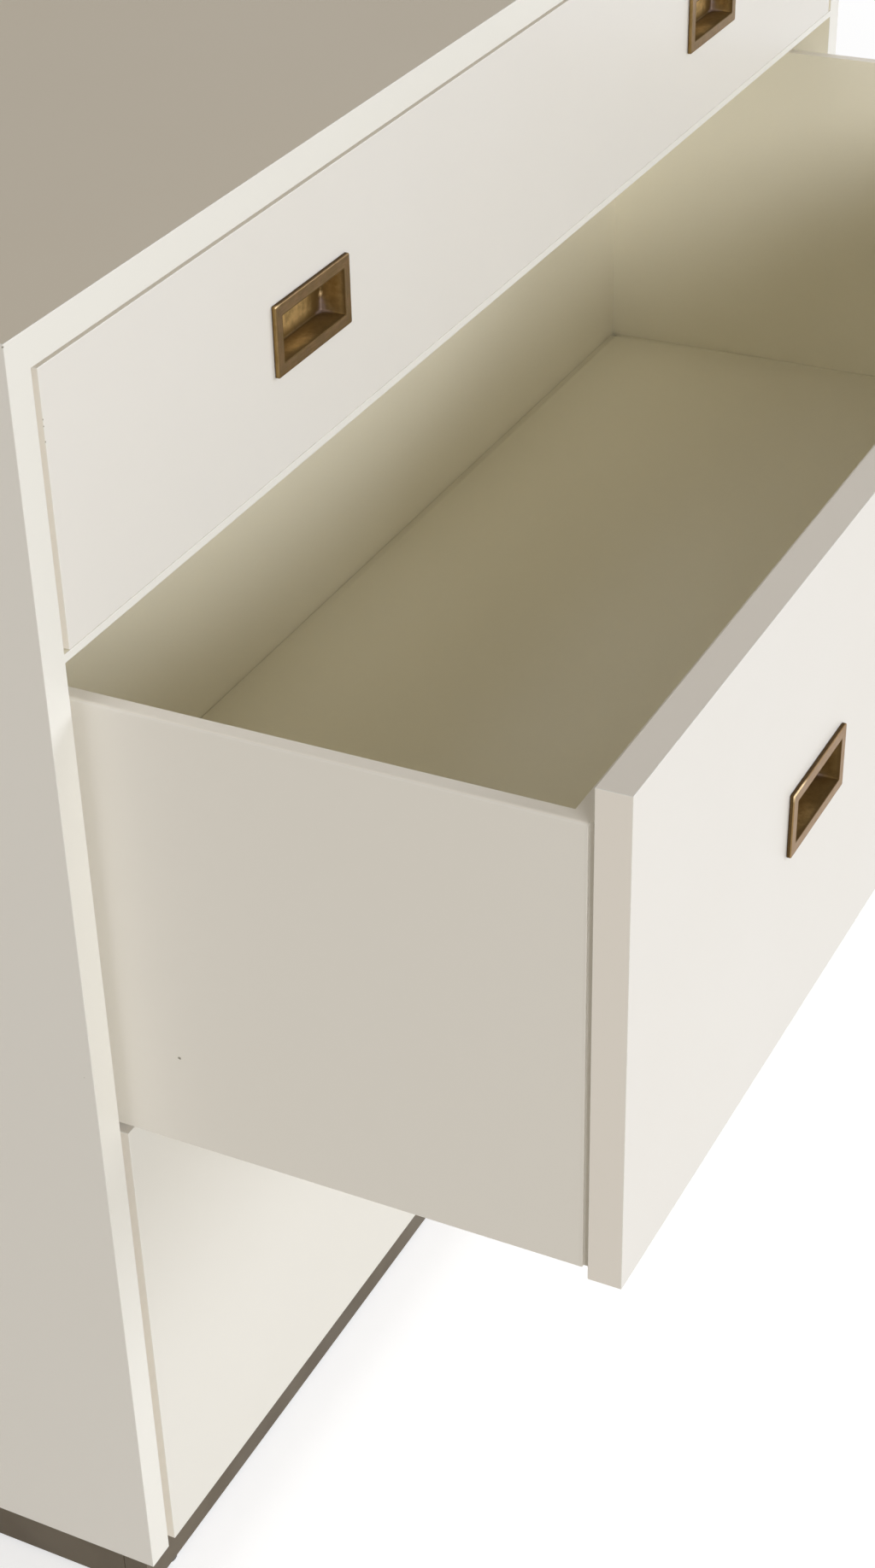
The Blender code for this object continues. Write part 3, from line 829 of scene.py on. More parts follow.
def pull_rings(half_x, half_z):
    """(half width, half height, corner radius, depth, zone) from the cup's middle to the back."""
    rings = []
    open_x = half_x - rim_width
    open_z = half_z - rim_width
    flat_x = open_x - draft - fillet
    flat_z = open_z - draft - fillet
    for share in (0.30, 0.55, 0.75, 0.88, 0.95):
        rings.append((flat_x * share, flat_z * share, floor_corner, cup_depth, "floor"))
    for step in range(5):
        angle = math.radians(90 * step / 4)
        out = fillet * math.sin(angle)
        y = cup_depth - fillet * (1 - math.cos(angle))
        rings.append((flat_x + out, flat_z + out, cup_corner, y, "floor" if step == 0 else "fillet"))
    for share in (0.08, 0.18, 0.35, 0.60, 0.85):
        lean = draft * (1 - share)
        corner = cup_corner + (opening_corner - cup_corner) * share
        y = (cup_depth - fillet) * (1 - share) - (rim_proud - lip) * share
        rings.append((open_x - lean, open_z - lean, corner, y, "cup_wall"))
    for step in range(3):
        angle = math.radians(90 * step / 2)
        out = lip * (1 - math.cos(angle))
        y = -rim_proud + lip * (1 - math.sin(angle))
        rings.append((open_x + out, open_z + out, opening_corner, y, "lip"))
    rings.append((open_x + lip_band, open_z + lip_band, opening_corner, -rim_proud, "lip_side"))
    for share in (0.30, 0.55, 0.80):
        out = share * rim_width
        corner = opening_corner + (outer_corner - opening_corner) * share
        rings.append((open_x + out, open_z + out, corner, -rim_proud, "rim"))
    for step in range(4):
        angle = math.radians(90 * step / 3)
        inset = crown * (1 - math.sin(angle))
        y = -rim_proud + crown * (1 - math.cos(angle))
        rings.append((half_x - inset, half_z - inset, outer_corner, y, "crown"))
    rings.append((half_x, half_z, outer_corner, -rim_proud + crown + crown_foot, "outside"))
    rings.append((half_x, half_z, outer_corner, -side_foot, "outside"))
    rings.append((half_x, half_z, outer_corner, -shadow_gap, "base"))
    rings.append((open_x + wall, open_z + wall, hidden_corner, -shadow_gap, "hidden"))
    back_x, back_z = open_x + wall - draft, open_z + wall - draft
    rings.append((back_x, back_z, back_corner, cup_depth + wall, "hidden"))
    return rings


print("a pull has", len(pull_rings(0.044, 0.021)), "rings")

# %% [markdown]
# ## Where a pull is worn and dirty, and where light and shade are painted on it
#
# Each ring belongs to a zone: the cup's floor, its rounded foot, its walls, the lip, the rim's
# flat front, its crowned outer edge or the outside. A zone and a place in it decide how worn,
# golden, bloomed or dark the metal is, and part of that is painted light and shade. Distances
# to a corner decide most of it: the cloth reaches the upper left corner of the crown, whose
# bright metal also stands for the highlight there, bloom creeps out of the cup's lower right
# corner with a painted glint above it, and dirt and painted shade stay in the foot. The middle
# drawer's pulls are rosier and duller than the top one's, so a rosy value from 0 to 1 tunes
# the same rules.

# %% The masks of a pull
masks_kept = ("edge_wear", "in_the_cup", "golden_floor", "corner_bloom", "dirt")


def fade(value, full, none):
    """1 at full, 0 at none, and a smooth slope between."""
    share = min(max((value - none) / (full - none), 0.0), 1.0)
    return share * share * (3 - 2 * share)


def pull_masks(zone, x, y, z, half_x, half_z, rosy):
    """The masks at one point of a pull, in the order of masks_kept; x and z are from its middle."""
    across, up = x / half_x, z / half_z
    open_x, open_z = half_x - rim_width, half_z - rim_width
    behind, beside, below = cup_depth - y, open_x - x, z + open_z
    rub_and_glint = sunk = gold_and_lit = bloom = dirt = 0.0
    # The lip: darkened by dirt and painted shade.
    if zone == "lip":
        sunk, dirt = 0.8, 0.55
    elif zone == "lip_side":
        rub_and_glint = 0.03
    elif zone == "crown":
        # Rubbed metal at the upper left corner also stands for the highlight it catches; the left side's gold
        # is partly painted light.
        corner = math.hypot(across + 1.0, 3.0 * (up - 1.0))
        sunk = 0.5 if across < -0.9 else 0.3
        gold_and_lit = 0.45 - 0.20 * rosy if across < -0.9 else 0.10
        rub_and_glint = fade(corner, 0.02 + 0.30 * rosy, 0.14 + 0.45 * rosy)
    elif zone == "outside":
        # The outer walls: darkened by dirt and painted shade, the top one most; the left one's gold is partly
        # painted light.
        sunk = 1.0
        gold_and_lit = 0.25 * (1.0 - rosy) if across < -0.97 else 0.10
        dirt = rosy if across < -0.97 else 0.95 if up > 0.97 else 0.5
    elif zone == "base":
        # Painted shade: the foot against the face is dark all round.
        dirt = 1.0
    elif zone in ("floor", "fillet", "cup_wall"):
        # In the cup the gold is partly painted light and the dark partly painted shade: the floor is golden
        # on its left, and dark at its foot, near the lip and in every crease.
        sunk = 1.0
        on_side = open_x - abs(x) < open_z - abs(z)
        front = fade(y, -0.0025, 0.0015)
        near_foot = fade(math.hypot(behind, 0.7 * beside, 1.2 * below), 0.0050, 0.0105)
        if zone == "floor":
            gold_and_lit = (1.10 - 0.6 * rosy) * fade(across, 0.36, 0.68) * fade(below, 0.0075, 0.0015)
            dirt = 0.8 * fade(below, 0.0008, 0.0040) * fade(across, 0.15, -0.10)
            dirt = max(dirt, 0.55 * fade(across, 0.72, 0.42))
        elif on_side:
            gold_and_lit = 0.55 * (1.0 - 0.7 * rosy)
            dirt = max(0.75 * front, 0.6 if zone == "fillet" else 0.0, 0.5 * fade(below, 0.0008, 0.0035))
        else:
            gold_and_lit = 0.16 + 0.60 * fade(abs(across + 0.22), 0.10, 0.42) * fade(y, 0.0035, 0.0095)
            dirt = max(0.22 + 0.62 * front, 0.85 if zone == "fillet" else 0.0)
        dirt = max(dirt, 0.65 * near_foot)
        upright = 0.8 * fade(math.hypot(0.8 * behind, beside), 0.0012, 0.0034) * fade(z, -0.0070, -0.0036)
        arms = fade(min(math.hypot(behind, below), math.hypot(beside, below)), 0.0006, 0.0022)
        foot = 0.80 * max(arms, fade(math.hypot(behind, beside, below), 0.0018, 0.0048))
        foot *= fade(math.hypot(behind, beside, below), 0.0040, 0.0085)
        # A painted highlight: a small glint above the bloom in the back right corner, given as bright metal.
        glint_up = -0.0032
        glint = fade(math.hypot(behind, beside, 0.9 * (z - glint_up)), 0.0008, 0.0016)
        bloom = max(upright, foot)
        rub_and_glint = 0.9 * glint
    return min(rub_and_glint, 1.0), sunk, gold_and_lit, bloom, min(dirt, 1.0)


# %% The six castings
bumps_per_metre = 130.0
bump_height = 0.00006


def make_pull(name, centre, half_x, half_z, body, rosy):
    """One cast pull on a drawer; centre lies on the face's front plane."""
    shape = bmesh.new()
    kept = (*masks_kept, "rosy_tone", "along_the_rim", "out_from_middle")
    layers = [shape.verts.layers.float.new(mask) for mask in kept]
    loops = []
    for ring_x, ring_z, radius, y, zone in pull_rings(half_x, half_z):
        loop = []
        for point in rounded_rectangle(ring_x, ring_z, radius):
            place = centre + Vector((point.x, y, point.y))
            shake = noise.noise_vector(place * bumps_per_metre) * bump_height
            vertex = shape.verts.new(place + Vector((shake.x, max(shake.y, 0.0), shake.z)))
            along = point.x + point.y + 5.0 * centre.x + 3.0 * centre.z
            masks = pull_masks(zone, point.x, y, point.y, half_x, half_z, rosy)
            values = (*masks, rosy, along, ring_z - y)
            for layer, value in zip(layers, values):
                vertex[layer] = value
            loop.append(vertex)
        loops.append(loop)
    for near, far in zip(loops, loops[1:]):
        for index in range(len(near)):
            following = (index + 1) % len(near)
            shape.faces.new((near[index], near[following], far[following], far[index]))
    shape.faces.new(list(reversed(loops[0])))
    shape.faces.new(loops[-1])
    bmesh.ops.recalc_face_normals(shape, faces=shape.faces)
    pull = new_piece(name, shape, aged_brass)
    pull.data.shade_smooth()
    pull.data.set_sharp_from_angle(angle=math.radians(60))
    weighted = pull.modifiers.new("flat_faces_stay_flat", "WEIGHTED_NORMAL")
    weighted.keep_sharp = True
    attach(pull, body)
    return pull


casting_seed = 7
noise.seed_set(casting_seed)
rosy_tone = {"top_drawer": 0.0, "middle_drawer": 0.8, "bottom_drawer": 0.35}
for drawer in drawers:
    face_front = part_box(drawer + "_face")[0].y
    for side in ("left", "right"):
        node = drawer + "_pull_" + side
        low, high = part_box(node)
        middle = (low + high) / 2
        centre = Vector((middle.x, face_front, middle.z))
        half_x, half_z = (high.x - low.x) / 2, (high.z - low.z) / 2
        pull = make_pull(node + "_casting", centre, half_x, half_z, drawer, rosy_tone[drawer])
        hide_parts(node)
        report(pull)

# %% [markdown]
# ## Steel for the runners and screws
#
# The drawers run on rails bent from zinc-plated sheet. Rolled steel has fine lines along its
# length, and the zinc leaves a faint mottle. The lines are stretched noise: the coordinates are
# squeezed along the sheet, so that round bumps become streaks. The mottle is made of cells.

# %% Steel materials
steel_tree, given, result = group(
    "plated_steel", "ShaderNodeTree",
    [
        ("Vector", "Vector", None),
        ("Stretch", "Vector", (1.0, 0.06, 1.0)),
        ("Metal", "Color", (0.56, 0.57, 0.58, 1.0)),
        ("Mottle", "Color", (0.44, 0.45, 0.47, 1.0)),
    ],
    [("Color", "Color"), ("Roughness", "Float"), ("Height", "Float")],
)
along = vector_math(steel_tree, "MULTIPLY", given["Vector"], given["Stretch"])["Vector"]
streaks = scaled_noise(steel_tree, along, 0.0012, 3.0)
cells = add(steel_tree, "ShaderNodeTexVoronoi", {"Vector": given["Vector"], "Scale": 160.0}).outputs
spangle = add(steel_tree, "ShaderNodeSeparateColor", {"Color": cells["Color"]}).outputs["Green"]
tone = arithmetic(steel_tree, "MULTIPLY", arithmetic(steel_tree, "ADD", streaks, spangle), 0.5)
feed(steel_tree, result, {
    "Color": blend_colours(steel_tree, tone, given["Metal"], given["Mottle"]),
    "Roughness": remap(steel_tree, tone, 0.2, 0.8, 0.28, 0.46),
    "Height": streaks,
})


def steel(name, metal, mottle, stretch):
    """A plated steel finish, its streaks drawn out along one axis."""
    material, tree, shader, place = new_material(name, metal, 0.36, 1.0)
    plated = place_group(tree, "plated_steel", {
        "Vector": place, "Stretch": stretch, "Metal": (*metal, 1.0), "Mottle": (*mottle, 1.0),
    })
    feed(tree, shader.inputs, {"Base Color": plated["Color"], "Roughness": plated["Roughness"]})
    relief_on(tree, shader, plated["Height"], 0.25, 0.00008)
    return material


runner_steel = steel("runner_steel", (0.56, 0.57, 0.58), (0.44, 0.45, 0.47), (1.0, 0.06, 1.0))
screw_steel = steel("screw_steel", (0.50, 0.48, 0.42), (0.38, 0.37, 0.34), (1.0, 1.0, 1.0))
print("materials:", runner_steel.name, screw_steel.name)

# %% [markdown]
# ## Bent runners
#
# A rail and a slide are the same kind of thing: a strip of sheet, folded along straight lines
# on a press brake. That is a rule, so Geometry Nodes can follow it. The input is only the path
# of the folds seen from the front, a few straight lines. The tree rounds the folds, pulls the
# line out along the drawer into a strip, and a Solidify modifier gives the strip its thickness.
#
# The rails are screwed to the case and the slides move with the drawers, so there is one mesh
# of rails and one mesh of slides for each drawer.

# %% The tree that bends sheet
bend_tree, given, result = group(
    "bent_sheet", "GeometryNodeTree",
    [
        ("Geometry", "Geometry", None),
        ("Bend Radius", "Float", 0.0015),
        ("Bend Steps", "Int", 4),
        ("Length", "Float", 0.45),
        ("Material", "Material", None),
    ],
    [("Geometry", "Geometry")],
)
fold_path = add(bend_tree, "GeometryNodeMeshToCurve", {"Mesh": given["Geometry"]}).outputs["Curve"]
rounded = add(
    bend_tree, "GeometryNodeFilletCurve",
    {"Curve": fold_path, "Count": given["Bend Steps"], "Radius": given["Bend Radius"], "Limit Radius": True},
    mode="POLY",
).outputs["Curve"]
line = add(bend_tree, "GeometryNodeCurveToMesh", {"Curve": rounded}).outputs["Mesh"]
reach = add(bend_tree, "ShaderNodeCombineXYZ", {"Y": given["Length"]}).outputs["Vector"]
strip = add(bend_tree, "GeometryNodeExtrudeMesh", {"Mesh": line, "Offset": reach}, mode="EDGES")
strip = add(bend_tree, "GeometryNodeRealizeInstances", {"Geometry": strip.outputs["Mesh"]})
strip = add(
    bend_tree, "GeometryNodeSetMaterial",
    {"Geometry": strip.outputs["Geometry"], "Material": given["Material"]},
)
feed(bend_tree, result, {"Geometry": strip.outputs["Geometry"]})
print("tree:", bend_tree.name)


def set_inputs(modifier, **values):
    """Give a Geometry Nodes modifier its values, by the identifiers of its sockets."""
    for item in modifier.node_group.interface.items_tree:
        name = item.name.replace(" ", "_").lower()
        if item.item_type == "SOCKET" and item.in_out == "INPUT" and name in values:
            modifier[item.identifier] = values[name]


def as_plain_mesh(piece):
    """Apply a piece's modifiers and drop the guide they grew from."""
    bpy.context.view_layer.update()
    evaluated = piece.evaluated_get(bpy.context.evaluated_depsgraph_get())
    mesh = bpy.data.meshes.new_from_object(evaluated)
    mesh.name = piece.name
    piece.modifiers.clear()
    piece.data = mesh
    return piece


def guide_lines(name, paths):
    """An object of bare edges, one chain for each list of points."""
    points = [point for path in paths for point in path]
    edges = []
    start = 0
    for path in paths:
        edges.extend((start + step, start + step + 1) for step in range(len(path) - 1))
        start += len(path)
    mesh = bpy.data.meshes.new(name)
    mesh.from_pydata(points, edges, [])
    guide = bpy.data.objects.new(name, mesh)
    scene.collection.objects.link(guide)
    return guide


def bent_runners(name, paths, length, body, nodes):
    """Runners of one body, folded from sheet."""
    piece = guide_lines(name, paths)
    bending = piece.modifiers.new("bent_sheet", "NODES")
    bending.node_group = bend_tree
    set_inputs(bending, bend_radius=0.0016, bend_steps=4, length=length, material=runner_steel)
    thick = piece.modifiers.new("sheet_thickness", "SOLIDIFY")
    thick.thickness = sheet
    thick.offset = 0.0
    thick.use_even_offset = True
    as_plain_mesh(piece)
    tidy = bmesh.new()
    tidy.from_mesh(piece.data)
    bmesh.ops.recalc_face_normals(tidy, faces=tidy.faces)
    tidy.to_mesh(piece.data)
    tidy.free()
    piece.data.shade_smooth()
    piece.data.set_sharp_from_angle(angle=math.radians(40))
    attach(piece, body)
    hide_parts(*nodes)
    report(piece)
    return piece


# %% The rails and slides
sheet = 0.0015
channel_width = 0.0135
channel_height = 0.0136
rail_lip = 0.003


def rail_path(side, low, high):
    """The folds of a rail: flange, shelf and the channel that the slide runs on."""
    outer = max(abs(low.x), abs(high.x)) - sheet / 2
    inner = min(abs(low.x), abs(high.x)) + sheet / 2
    shelf = low.z + sheet / 2
    folds = (
        (outer, high.z), (outer, shelf), (inner + channel_width, shelf),
        (inner + channel_width, shelf + channel_height), (inner, shelf + channel_height),
        (inner, shelf + rail_lip),
    )
    return [(side * x, low.y, z) for x, z in folds]


def slide_path(side, low, high):
    """The folds of a slide: an upturned channel under the drawer's bottom."""
    outer = max(abs(low.x), abs(high.x)) - sheet / 2
    inner = min(abs(low.x), abs(high.x)) + sheet / 2
    top = high.z - sheet / 2
    return [(side * x, low.y, z) for x, z in ((outer, low.z), (outer, top), (inner, top), (inner, low.z))]


rail_nodes = [drawer + "_rail_" + side for drawer in drawers for side in ("left", "right")]
runner_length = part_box(rail_nodes[0])[1].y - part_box(rail_nodes[0])[0].y
bent_runners(
    "runner_rails",
    [rail_path(-1 if node.endswith("left") else 1, *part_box(node)) for node in rail_nodes],
    runner_length, "case", rail_nodes,
)
for drawer in drawers:
    nodes = [drawer + "_slide_left", drawer + "_slide_right"]
    paths = [slide_path(side, *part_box(node)) for side, node in zip((-1, 1), nodes)]
    bent_runners(drawer + "_runner_slides", paths, runner_length, drawer, nodes)

# %% [markdown]
# ## Screws and nails
#
# Small fasteners come in rows: three screws through each rail, four through the front of each
# box into its face, and panel pins round the back. Modelling one and copying it by hand would
# be slow to change, so one Geometry Nodes tree does it. It takes bare lines, puts a head at
# every step along them, turns each head by a random angle as a real hand would leave it, and
# gives them their steel.

# %% The tree that sets fasteners
row_tree, given, result = group(
    "fastener_rows", "GeometryNodeTree",
    [
        ("Geometry", "Geometry", None),
        ("Spacing", "Float", 0.15),
        ("Head Radius", "Float", 0.0035),
        ("Head Height", "Float", 0.0012),
        ("Drive Width", "Float", 0.0009),
        ("Drive Depth", "Float", 0.0006),
        ("Facing", "Vector", (0.0, 1.0, 0.0)),
        ("Seed", "Int", 7),
        ("Material", "Material", None),
    ],
    [("Geometry", "Geometry")],
)
rows = add(row_tree, "GeometryNodeMeshToCurve", {"Mesh": given["Geometry"]}).outputs["Curve"]
rows = add(row_tree, "GeometryNodeResampleCurve", {"Curve": rows, "Length": given["Spacing"]}, mode="LENGTH")

# The head is a flat cone, and two crossed bars cut its drive.
top_share = 0.72
drive_share = 1.1
head = add(
    row_tree, "GeometryNodeMeshCone",
    {
        "Vertices": 14,
        "Radius Top": arithmetic(row_tree, "MULTIPLY", given["Head Radius"], top_share),
        "Radius Bottom": given["Head Radius"],
        "Depth": given["Head Height"],
    },
    fill_type="NGON",
).outputs["Mesh"]
drive_length = arithmetic(row_tree, "MULTIPLY", given["Head Radius"], drive_share)
drive_floor = arithmetic(row_tree, "SUBTRACT", given["Head Height"], given["Drive Depth"])
half_height = arithmetic(row_tree, "MULTIPLY", given["Head Height"], 0.5)
lift = arithmetic(row_tree, "ADD", drive_floor, half_height)
up = add(row_tree, "ShaderNodeCombineXYZ", {"Z": lift}).outputs["Vector"]
drive = add(row_tree, "GeometryNodeMeshBoolean", operation="UNION", solver="EXACT")
for long_axis in ("X", "Y"):
    sides = {"X": given["Drive Width"], "Y": given["Drive Width"], "Z": given["Head Height"]}
    sides[long_axis] = drive_length
    size = add(row_tree, "ShaderNodeCombineXYZ", sides).outputs["Vector"]
    bar = add(row_tree, "GeometryNodeMeshCube", {"Size": size}).outputs["Mesh"]
    bar = add(row_tree, "GeometryNodeTransform", {"Geometry": bar, "Translation": up}).outputs["Geometry"]
    feed(row_tree, drive.inputs, {"Mesh 2": bar})
cross_head = add(
    row_tree, "GeometryNodeMeshBoolean", {"Mesh 1": head, "Mesh 2": drive.outputs["Mesh"]},
    operation="DIFFERENCE", solver="EXACT",
)

# Each head faces one way and is spun by its own angle.
facing = add(row_tree, "FunctionNodeAlignRotationToVector", {"Vector": given["Facing"]}, axis="Z")
spin = add(row_tree, "FunctionNodeRandomValue", {"Seed": given["Seed"], 3: math.pi}, data_type="FLOAT")
spin = add(row_tree, "FunctionNodeAxisAngleToRotation", {"Axis": (0.0, 0.0, 1.0), "Angle": spin.outputs[1]})
turned = add(
    row_tree, "FunctionNodeRotateRotation",
    {"Rotation": facing.outputs["Rotation"], "Rotate By": spin.outputs["Rotation"]},
    rotation_space="LOCAL",
).outputs["Rotation"]
heads = add(
    row_tree, "GeometryNodeInstanceOnPoints",
    {"Points": rows.outputs["Curve"], "Instance": cross_head.outputs["Mesh"], "Rotation": turned},
).outputs["Instances"]
heads = add(row_tree, "GeometryNodeRealizeInstances", {"Geometry": heads}).outputs["Geometry"]
heads = add(
    row_tree, "GeometryNodeSetMaterial", {"Geometry": heads, "Material": given["Material"]}
).outputs["Geometry"]
feed(row_tree, result, {"Geometry": heads})


def fastener_rows(name, paths, body, slot_name, **values):
    """Rows of heads along lines, as one plain mesh."""
    piece = guide_lines(name, paths)
    setting = piece.modifiers.new("fastener_rows", "NODES")
    setting.node_group = row_tree
    set_inputs(setting, material=screw_steel, **values)
    as_plain_mesh(piece)
    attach(piece, body)
    report(piece)
    return piece


# %% Screws in the rails
screw_end = 0.030
flange_height_share = 0.62
for side_name, side in (("left", -1), ("right", 1)):
    paths = []
    for drawer in drawers:
        low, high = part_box(drawer + "_rail_" + side_name)
        x = side * (max(abs(low.x), abs(high.x)) - sheet)
        z = low.z + flange_height_share * (high.z - low.z)
        paths.append([(x, low.y + screw_end, z), (x, high.y - screw_end, z)])
    fastener_rows(
        "rail_screws_" + side_name, paths, "case", "runner_steel",
        spacing=(runner_length - 2 * screw_end) / 2, head_radius=0.0038, head_height=0.0016,
        drive_width=0.0010, drive_depth=0.0009, facing=(-float(side), 0.0, 0.0), seed=11 + side,
    )

# %% Screws from the boxes into the faces
row_half = 0.42
screw_step = 0.28
for seed, drawer in enumerate(drawers):
    low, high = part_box(drawer + "_box_front")
    z = (low.z + high.z) / 2
    fastener_rows(
        drawer + "_front_screws", [[(-row_half, high.y, z), (row_half, high.y, z)]], drawer, "runner_steel",
        spacing=screw_step, head_radius=0.0042, head_height=0.0016, drive_width=0.0011, drive_depth=0.0009,
        facing=(0.0, 1.0, 0.0), seed=20 + seed,
    )

# %% Pins round the back
pin_edge = 0.0045
pin_foot = 0.010
corner_gap = 0.08
x = back_high.x - pin_edge
top = back_high.z - pin_edge
bottom = back_low.z + pin_foot
fastener_rows(
    "back_pins",
    [
        [(-x, back_high.y, bottom), (-x, back_high.y, top)],
        [(x, back_high.y, bottom), (x, back_high.y, top)],
        [(-x + corner_gap, back_high.y, top), (x - corner_gap, back_high.y, top)],
        [(-x + corner_gap, back_high.y, bottom), (x - corner_gap, back_high.y, bottom)],
    ],
    "case", "runner_steel",
    spacing=0.105, head_radius=0.0022, head_height=0.0007, drive_width=0.0004, drive_depth=0.00005,
    facing=(0.0, 1.0, 0.0), seed=31,
)

# %% [markdown]
# ## Finishes for the boards that stay
#
# Some CAD nodes are already the right shape: the bottom and back panels, the plinth, its glued
# corner blocks and the glides. They only need a finish. The corner blocks are bare pine, so
# their grain runs along the block in bands of early and late wood. The back is a primed fibre
# board with a faint pressed texture. The plinth is painted brown so that it sinks into its own
# shadow, and the glides are moulded nylon.

# %% The group for wood grain
grain_tree, given, result = group(
    "wood_grain", "ShaderNodeTree",
    [
        ("Vector", "Vector", None),
        ("Stretch", "Vector", (1.0, 1.0, 0.08)),
        ("Ring Width", "Float", 0.004),
        ("Early Wood", "Color", (0.60, 0.43, 0.26, 1.0)),
        ("Late Wood", "Color", (0.42, 0.26, 0.13, 1.0)),
    ],
    [("Color", "Color"), ("Height", "Float")],
)
fibre_width = 0.0007
drawn = vector_math(grain_tree, "MULTIPLY", given["Vector"], given["Stretch"])["Vector"]
bands_per_metre = arithmetic(grain_tree, "DIVIDE", 0.3, given["Ring Width"])
rings = add(
    grain_tree, "ShaderNodeTexWave",
    {
        "Vector": drawn, "Scale": bands_per_metre,
        "Distortion": 3.0, "Detail": 3.0, "Detail Scale": 0.7,
    },
    wave_type="RINGS", rings_direction="Z",
).outputs["Fac"]
fibres = scaled_noise(grain_tree, drawn, fibre_width, 3.0)
bands = arithmetic(grain_tree, "MULTIPLY", arithmetic(grain_tree, "POWER", rings, 2.2), 0.75)
bands = arithmetic(grain_tree, "ADD", bands, arithmetic(grain_tree, "MULTIPLY", fibres, 0.3))
wood_tone = blend_colours(grain_tree, bands, given["Early Wood"], given["Late Wood"])
feed(grain_tree, result, {"Color": wood_tone, "Height": fibres})
print("group:", grain_tree.name)

# %% Bare pine and primed fibre board
pine, tree, shader, place = new_material("block_pine", (0.56, 0.40, 0.24), 0.66)
grain = place_group(tree, "wood_grain", {"Vector": place})
feed(tree, shader.inputs, {"Base Color": grain["Color"]})
relief_on(tree, shader, grain["Height"], 0.4, 0.0003)

primed, tree, shader, place = new_material("primed_back_board", (0.76, 0.73, 0.66), 0.55)
tone = place_group(tree, "paint_tone", {
    "Vector": place, "Paint": (0.77, 0.74, 0.67, 1.0), "Warm Paint": (0.73, 0.69, 0.60, 1.0),
    "Cloud Strength": 0.6, "Clouds per Metre": 5.0, "Speck Share": 0.10,
})
fuzz = scaled_noise(tree, place, 0.0011, 4.0, 0.7)
feed(tree, shader.inputs, {"Base Color": tone["Color"], "Roughness": remap(tree, fuzz, 0.3, 0.7, 0.50, 0.64)})
relief_on(tree, shader, fuzz, 0.5, 0.0002)
print("materials:", pine.name, primed.name)

# %% Brown plinth paint and moulded nylon
plinth_paint, tree, shader, place = new_material("plinth_paint", (0.13, 0.10, 0.07), 0.46)
tone = place_group(tree, "paint_tone", {
    "Vector": place, "Paint": (0.145, 0.117, 0.080, 1.0), "Warm Paint": (0.110, 0.085, 0.055, 1.0),
    "Cloud Strength": 1.0, "Clouds per Metre": 14.0,
    "Speck Colour": (0.28, 0.24, 0.18, 1.0), "Speck Share": 0.05,
})
film = place_group(tree, "paint_film", {
    "Vector": place, "Ripples per Metre": 210.0, "Specks": tone["Specks"],
    "Roughness Low": 0.36, "Roughness High": 0.54,
})
feed(tree, shader.inputs, {
    "Base Color": tone["Color"], "Roughness": film["Roughness"], "Specular IOR Level": 0.25,
})
relief_on(tree, shader, film["Height"], 0.4, 0.00008)

nylon, tree, shader, place = new_material("glide_nylon", (0.10, 0.10, 0.10), 0.5)
black_nylon = (0.085, 0.085, 0.088, 1.0)
scuffed_nylon = (0.15, 0.145, 0.14, 1.0)
mould = scaled_noise(tree, place, 0.0009)
scratched = remap(tree, scaled_noise(tree, place, 0.004, 4.0, 0.7), 0.45, 0.65)
feed(tree, shader.inputs, {
    "Base Color": blend_colours(tree, scratched, black_nylon, scuffed_nylon),
    "Roughness": remap(tree, scratched, 0.0, 1.0, 0.42, 0.62),
})
relief_on(tree, shader, mould, 0.4, 0.0001)
print("materials:", plinth_paint.name, nylon.name)

# %% Give them to the CAD nodes
finish_of = {"bottom_panel": box_lacquer, "back_panel": primed}
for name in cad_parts:
    if name.startswith("plinth_block"):
        finish_of[name] = pine
    elif name.startswith("plinth"):
        finish_of[name] = plinth_paint
    elif name.startswith("glide"):
        finish_of[name] = nylon
for name, finish in finish_of.items():
    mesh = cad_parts[name].data
    mesh.materials.clear()
    mesh.materials.append(finish)
print(len(finish_of), "CAD nodes finished:", ", ".join(sorted(finish_of)))

# %% [markdown]
# ## Floor, background and light
#
# A product photograph like this has a white background and soft light. The light comes from a
# large window far off in front and to the left, with a little over half as much from a pale
# wall on the right and a warm glow from all around. So the front is brightest, the left side
# less, the top least, and the open drawer darkens downwards as its front shades it.
#
# The white background must not light the dresser, or every side would be equally bright. So the
# world answers differently by kind of ray: white to the camera and to reflections, and a warm,
# weaker tone to everything else. The floor does the same: it keeps the dresser's shadow near
# by, and farther off it fades into the white, so that no edge of the floor ever shows.

# %% Helpers for a white background
white_light = (1.0, 1.0, 1.0, 1.0)


def shows_background(tree):
    """1 for the rays that show the background: from the camera, a reflection or glass."""
    ray = add(tree, "ShaderNodeLightPath").outputs
    mirrored = arithmetic(tree, "MAXIMUM", ray["Is Glossy Ray"], ray["Is Transmission Ray"])
    return arithmetic(tree, "MAXIMUM", ray["Is Camera Ray"], mirrored)


def choose(tree, factor, first, second):
    """The first shader where the factor is 0, and the second where it is 1."""
    return add(tree, "ShaderNodeMixShader", {"Fac": factor, 1: first, 2: second}).outputs["Shader"]


def glow(tree, kind, colour, strength):
    """A light of one colour, from a surface or from the world."""
    return add(tree, kind, {"Color": colour, "Strength": strength}).outputs[0]


print("helpers ready: shows_background, choose, glow")

# %% The floor
floor_reach = 9.0
fade_start = 1.1
fade_end = 3.2
floor_glow = 0.52
seen_paint = (0.86, 0.87, 0.90, 1.0)
bounce_paint = (0.72, 0.68, 0.60, 1.0)

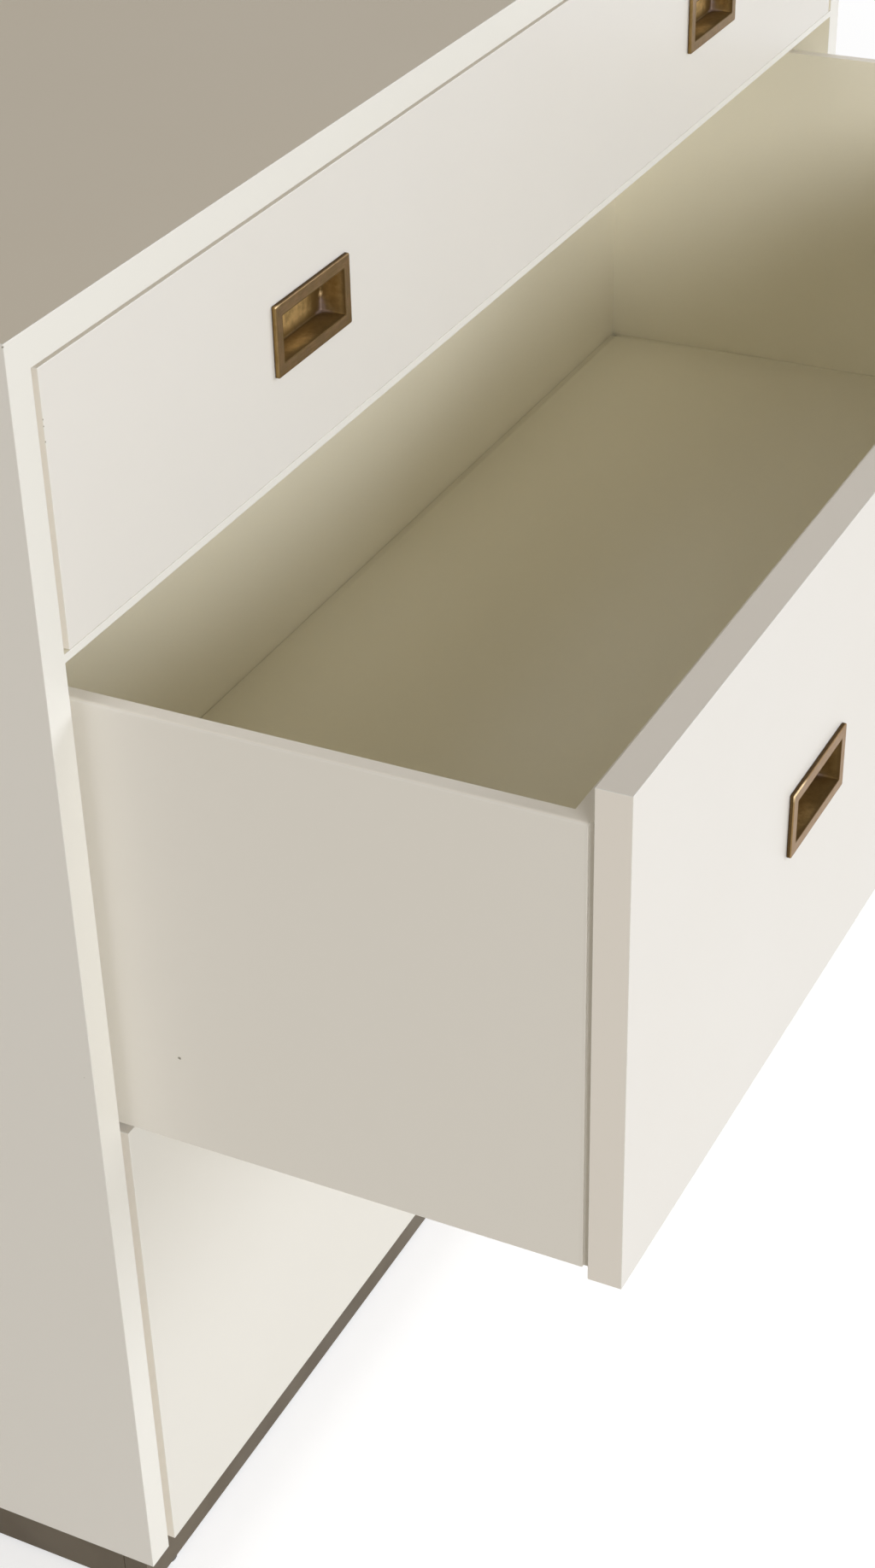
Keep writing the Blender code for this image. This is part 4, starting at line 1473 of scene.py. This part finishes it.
floor_material = bpy.data.materials.new("studio_floor")
floor_material.use_nodes = True
tree = floor_material.node_tree
tree.nodes.clear()
matte = add(tree, "ShaderNodeBsdfDiffuse", {"Color": seen_paint}).outputs["BSDF"]
bounce = add(tree, "ShaderNodeBsdfDiffuse", {"Color": bounce_paint}).outputs["BSDF"]
lit = glow(tree, "ShaderNodeEmission", white_light, floor_glow)
both = add(tree, "ShaderNodeAddShader", {0: matte, 1: lit}).outputs["Shader"]
white = glow(tree, "ShaderNodeEmission", white_light, 1.0)
place = add(tree, "ShaderNodeTexCoord").outputs["Object"]
distance = vector_math(tree, "LENGTH", place)["Value"]
faded = choose(tree, remap(tree, distance, fade_start, fade_end), both, white)
surface = choose(tree, shows_background(tree), bounce, faded)
add(tree, "ShaderNodeOutputMaterial", {"Surface": surface})

floor_shape = bmesh.new()
floor_corners = [
    floor_shape.verts.new((floor_reach * side_x, floor_reach * side_y, 0.0))
    for side_x, side_y in ((-1, -1), (1, -1), (1, 1), (-1, 1))
]
floor_shape.faces.new(floor_corners)
floor = new_piece("studio_floor", floor_shape, floor_material)
print("floor:", 2 * floor_reach, "m square")

# %% The world
ambient_colour = (1.0, 0.91, 0.75, 1.0)
ambient_strength = 0.25
world = bpy.data.worlds.new("studio")
world.use_nodes = True
scene.world = world
tree = world.node_tree
tree.nodes.clear()
ambient = glow(tree, "ShaderNodeBackground", ambient_colour, ambient_strength)
white = glow(tree, "ShaderNodeBackground", white_light, 1.0)
add(tree, "ShaderNodeOutputWorld", {"Surface": choose(tree, shows_background(tree), ambient, white)})
print("world:", world.name)


# %% The lamps
def soft_lamp(name, place, target, width, height, power, colour):
    """A large rectangular lamp that faces a point."""
    data = bpy.data.lights.new(name, "AREA")
    data.shape = "RECTANGLE"
    data.size = width
    data.size_y = height
    data.energy = power
    data.color = colour
    lamp = bpy.data.objects.new(name, data)
    scene.collection.objects.link(lamp)
    lamp.location = place
    lamp.rotation_euler = (Vector(target) - Vector(place)).to_track_quat("-Z", "Y").to_euler()
    lamp.visible_camera = False
    return lamp


dresser_middle = (0.0, 0.0, 0.5)
soft_lamp("window", (-12.2, -14.6, 6.7), dresser_middle, 11.0, 5.0, 2330.0, (0.96, 0.97, 1.0))
soft_lamp("pale_wall", (12.4, -14.8, 5.7), dresser_middle, 10.0, 7.0, 1380.0, (0.87, 0.91, 1.0))
print("light: ambient", ambient_strength, "a window and a pale wall")
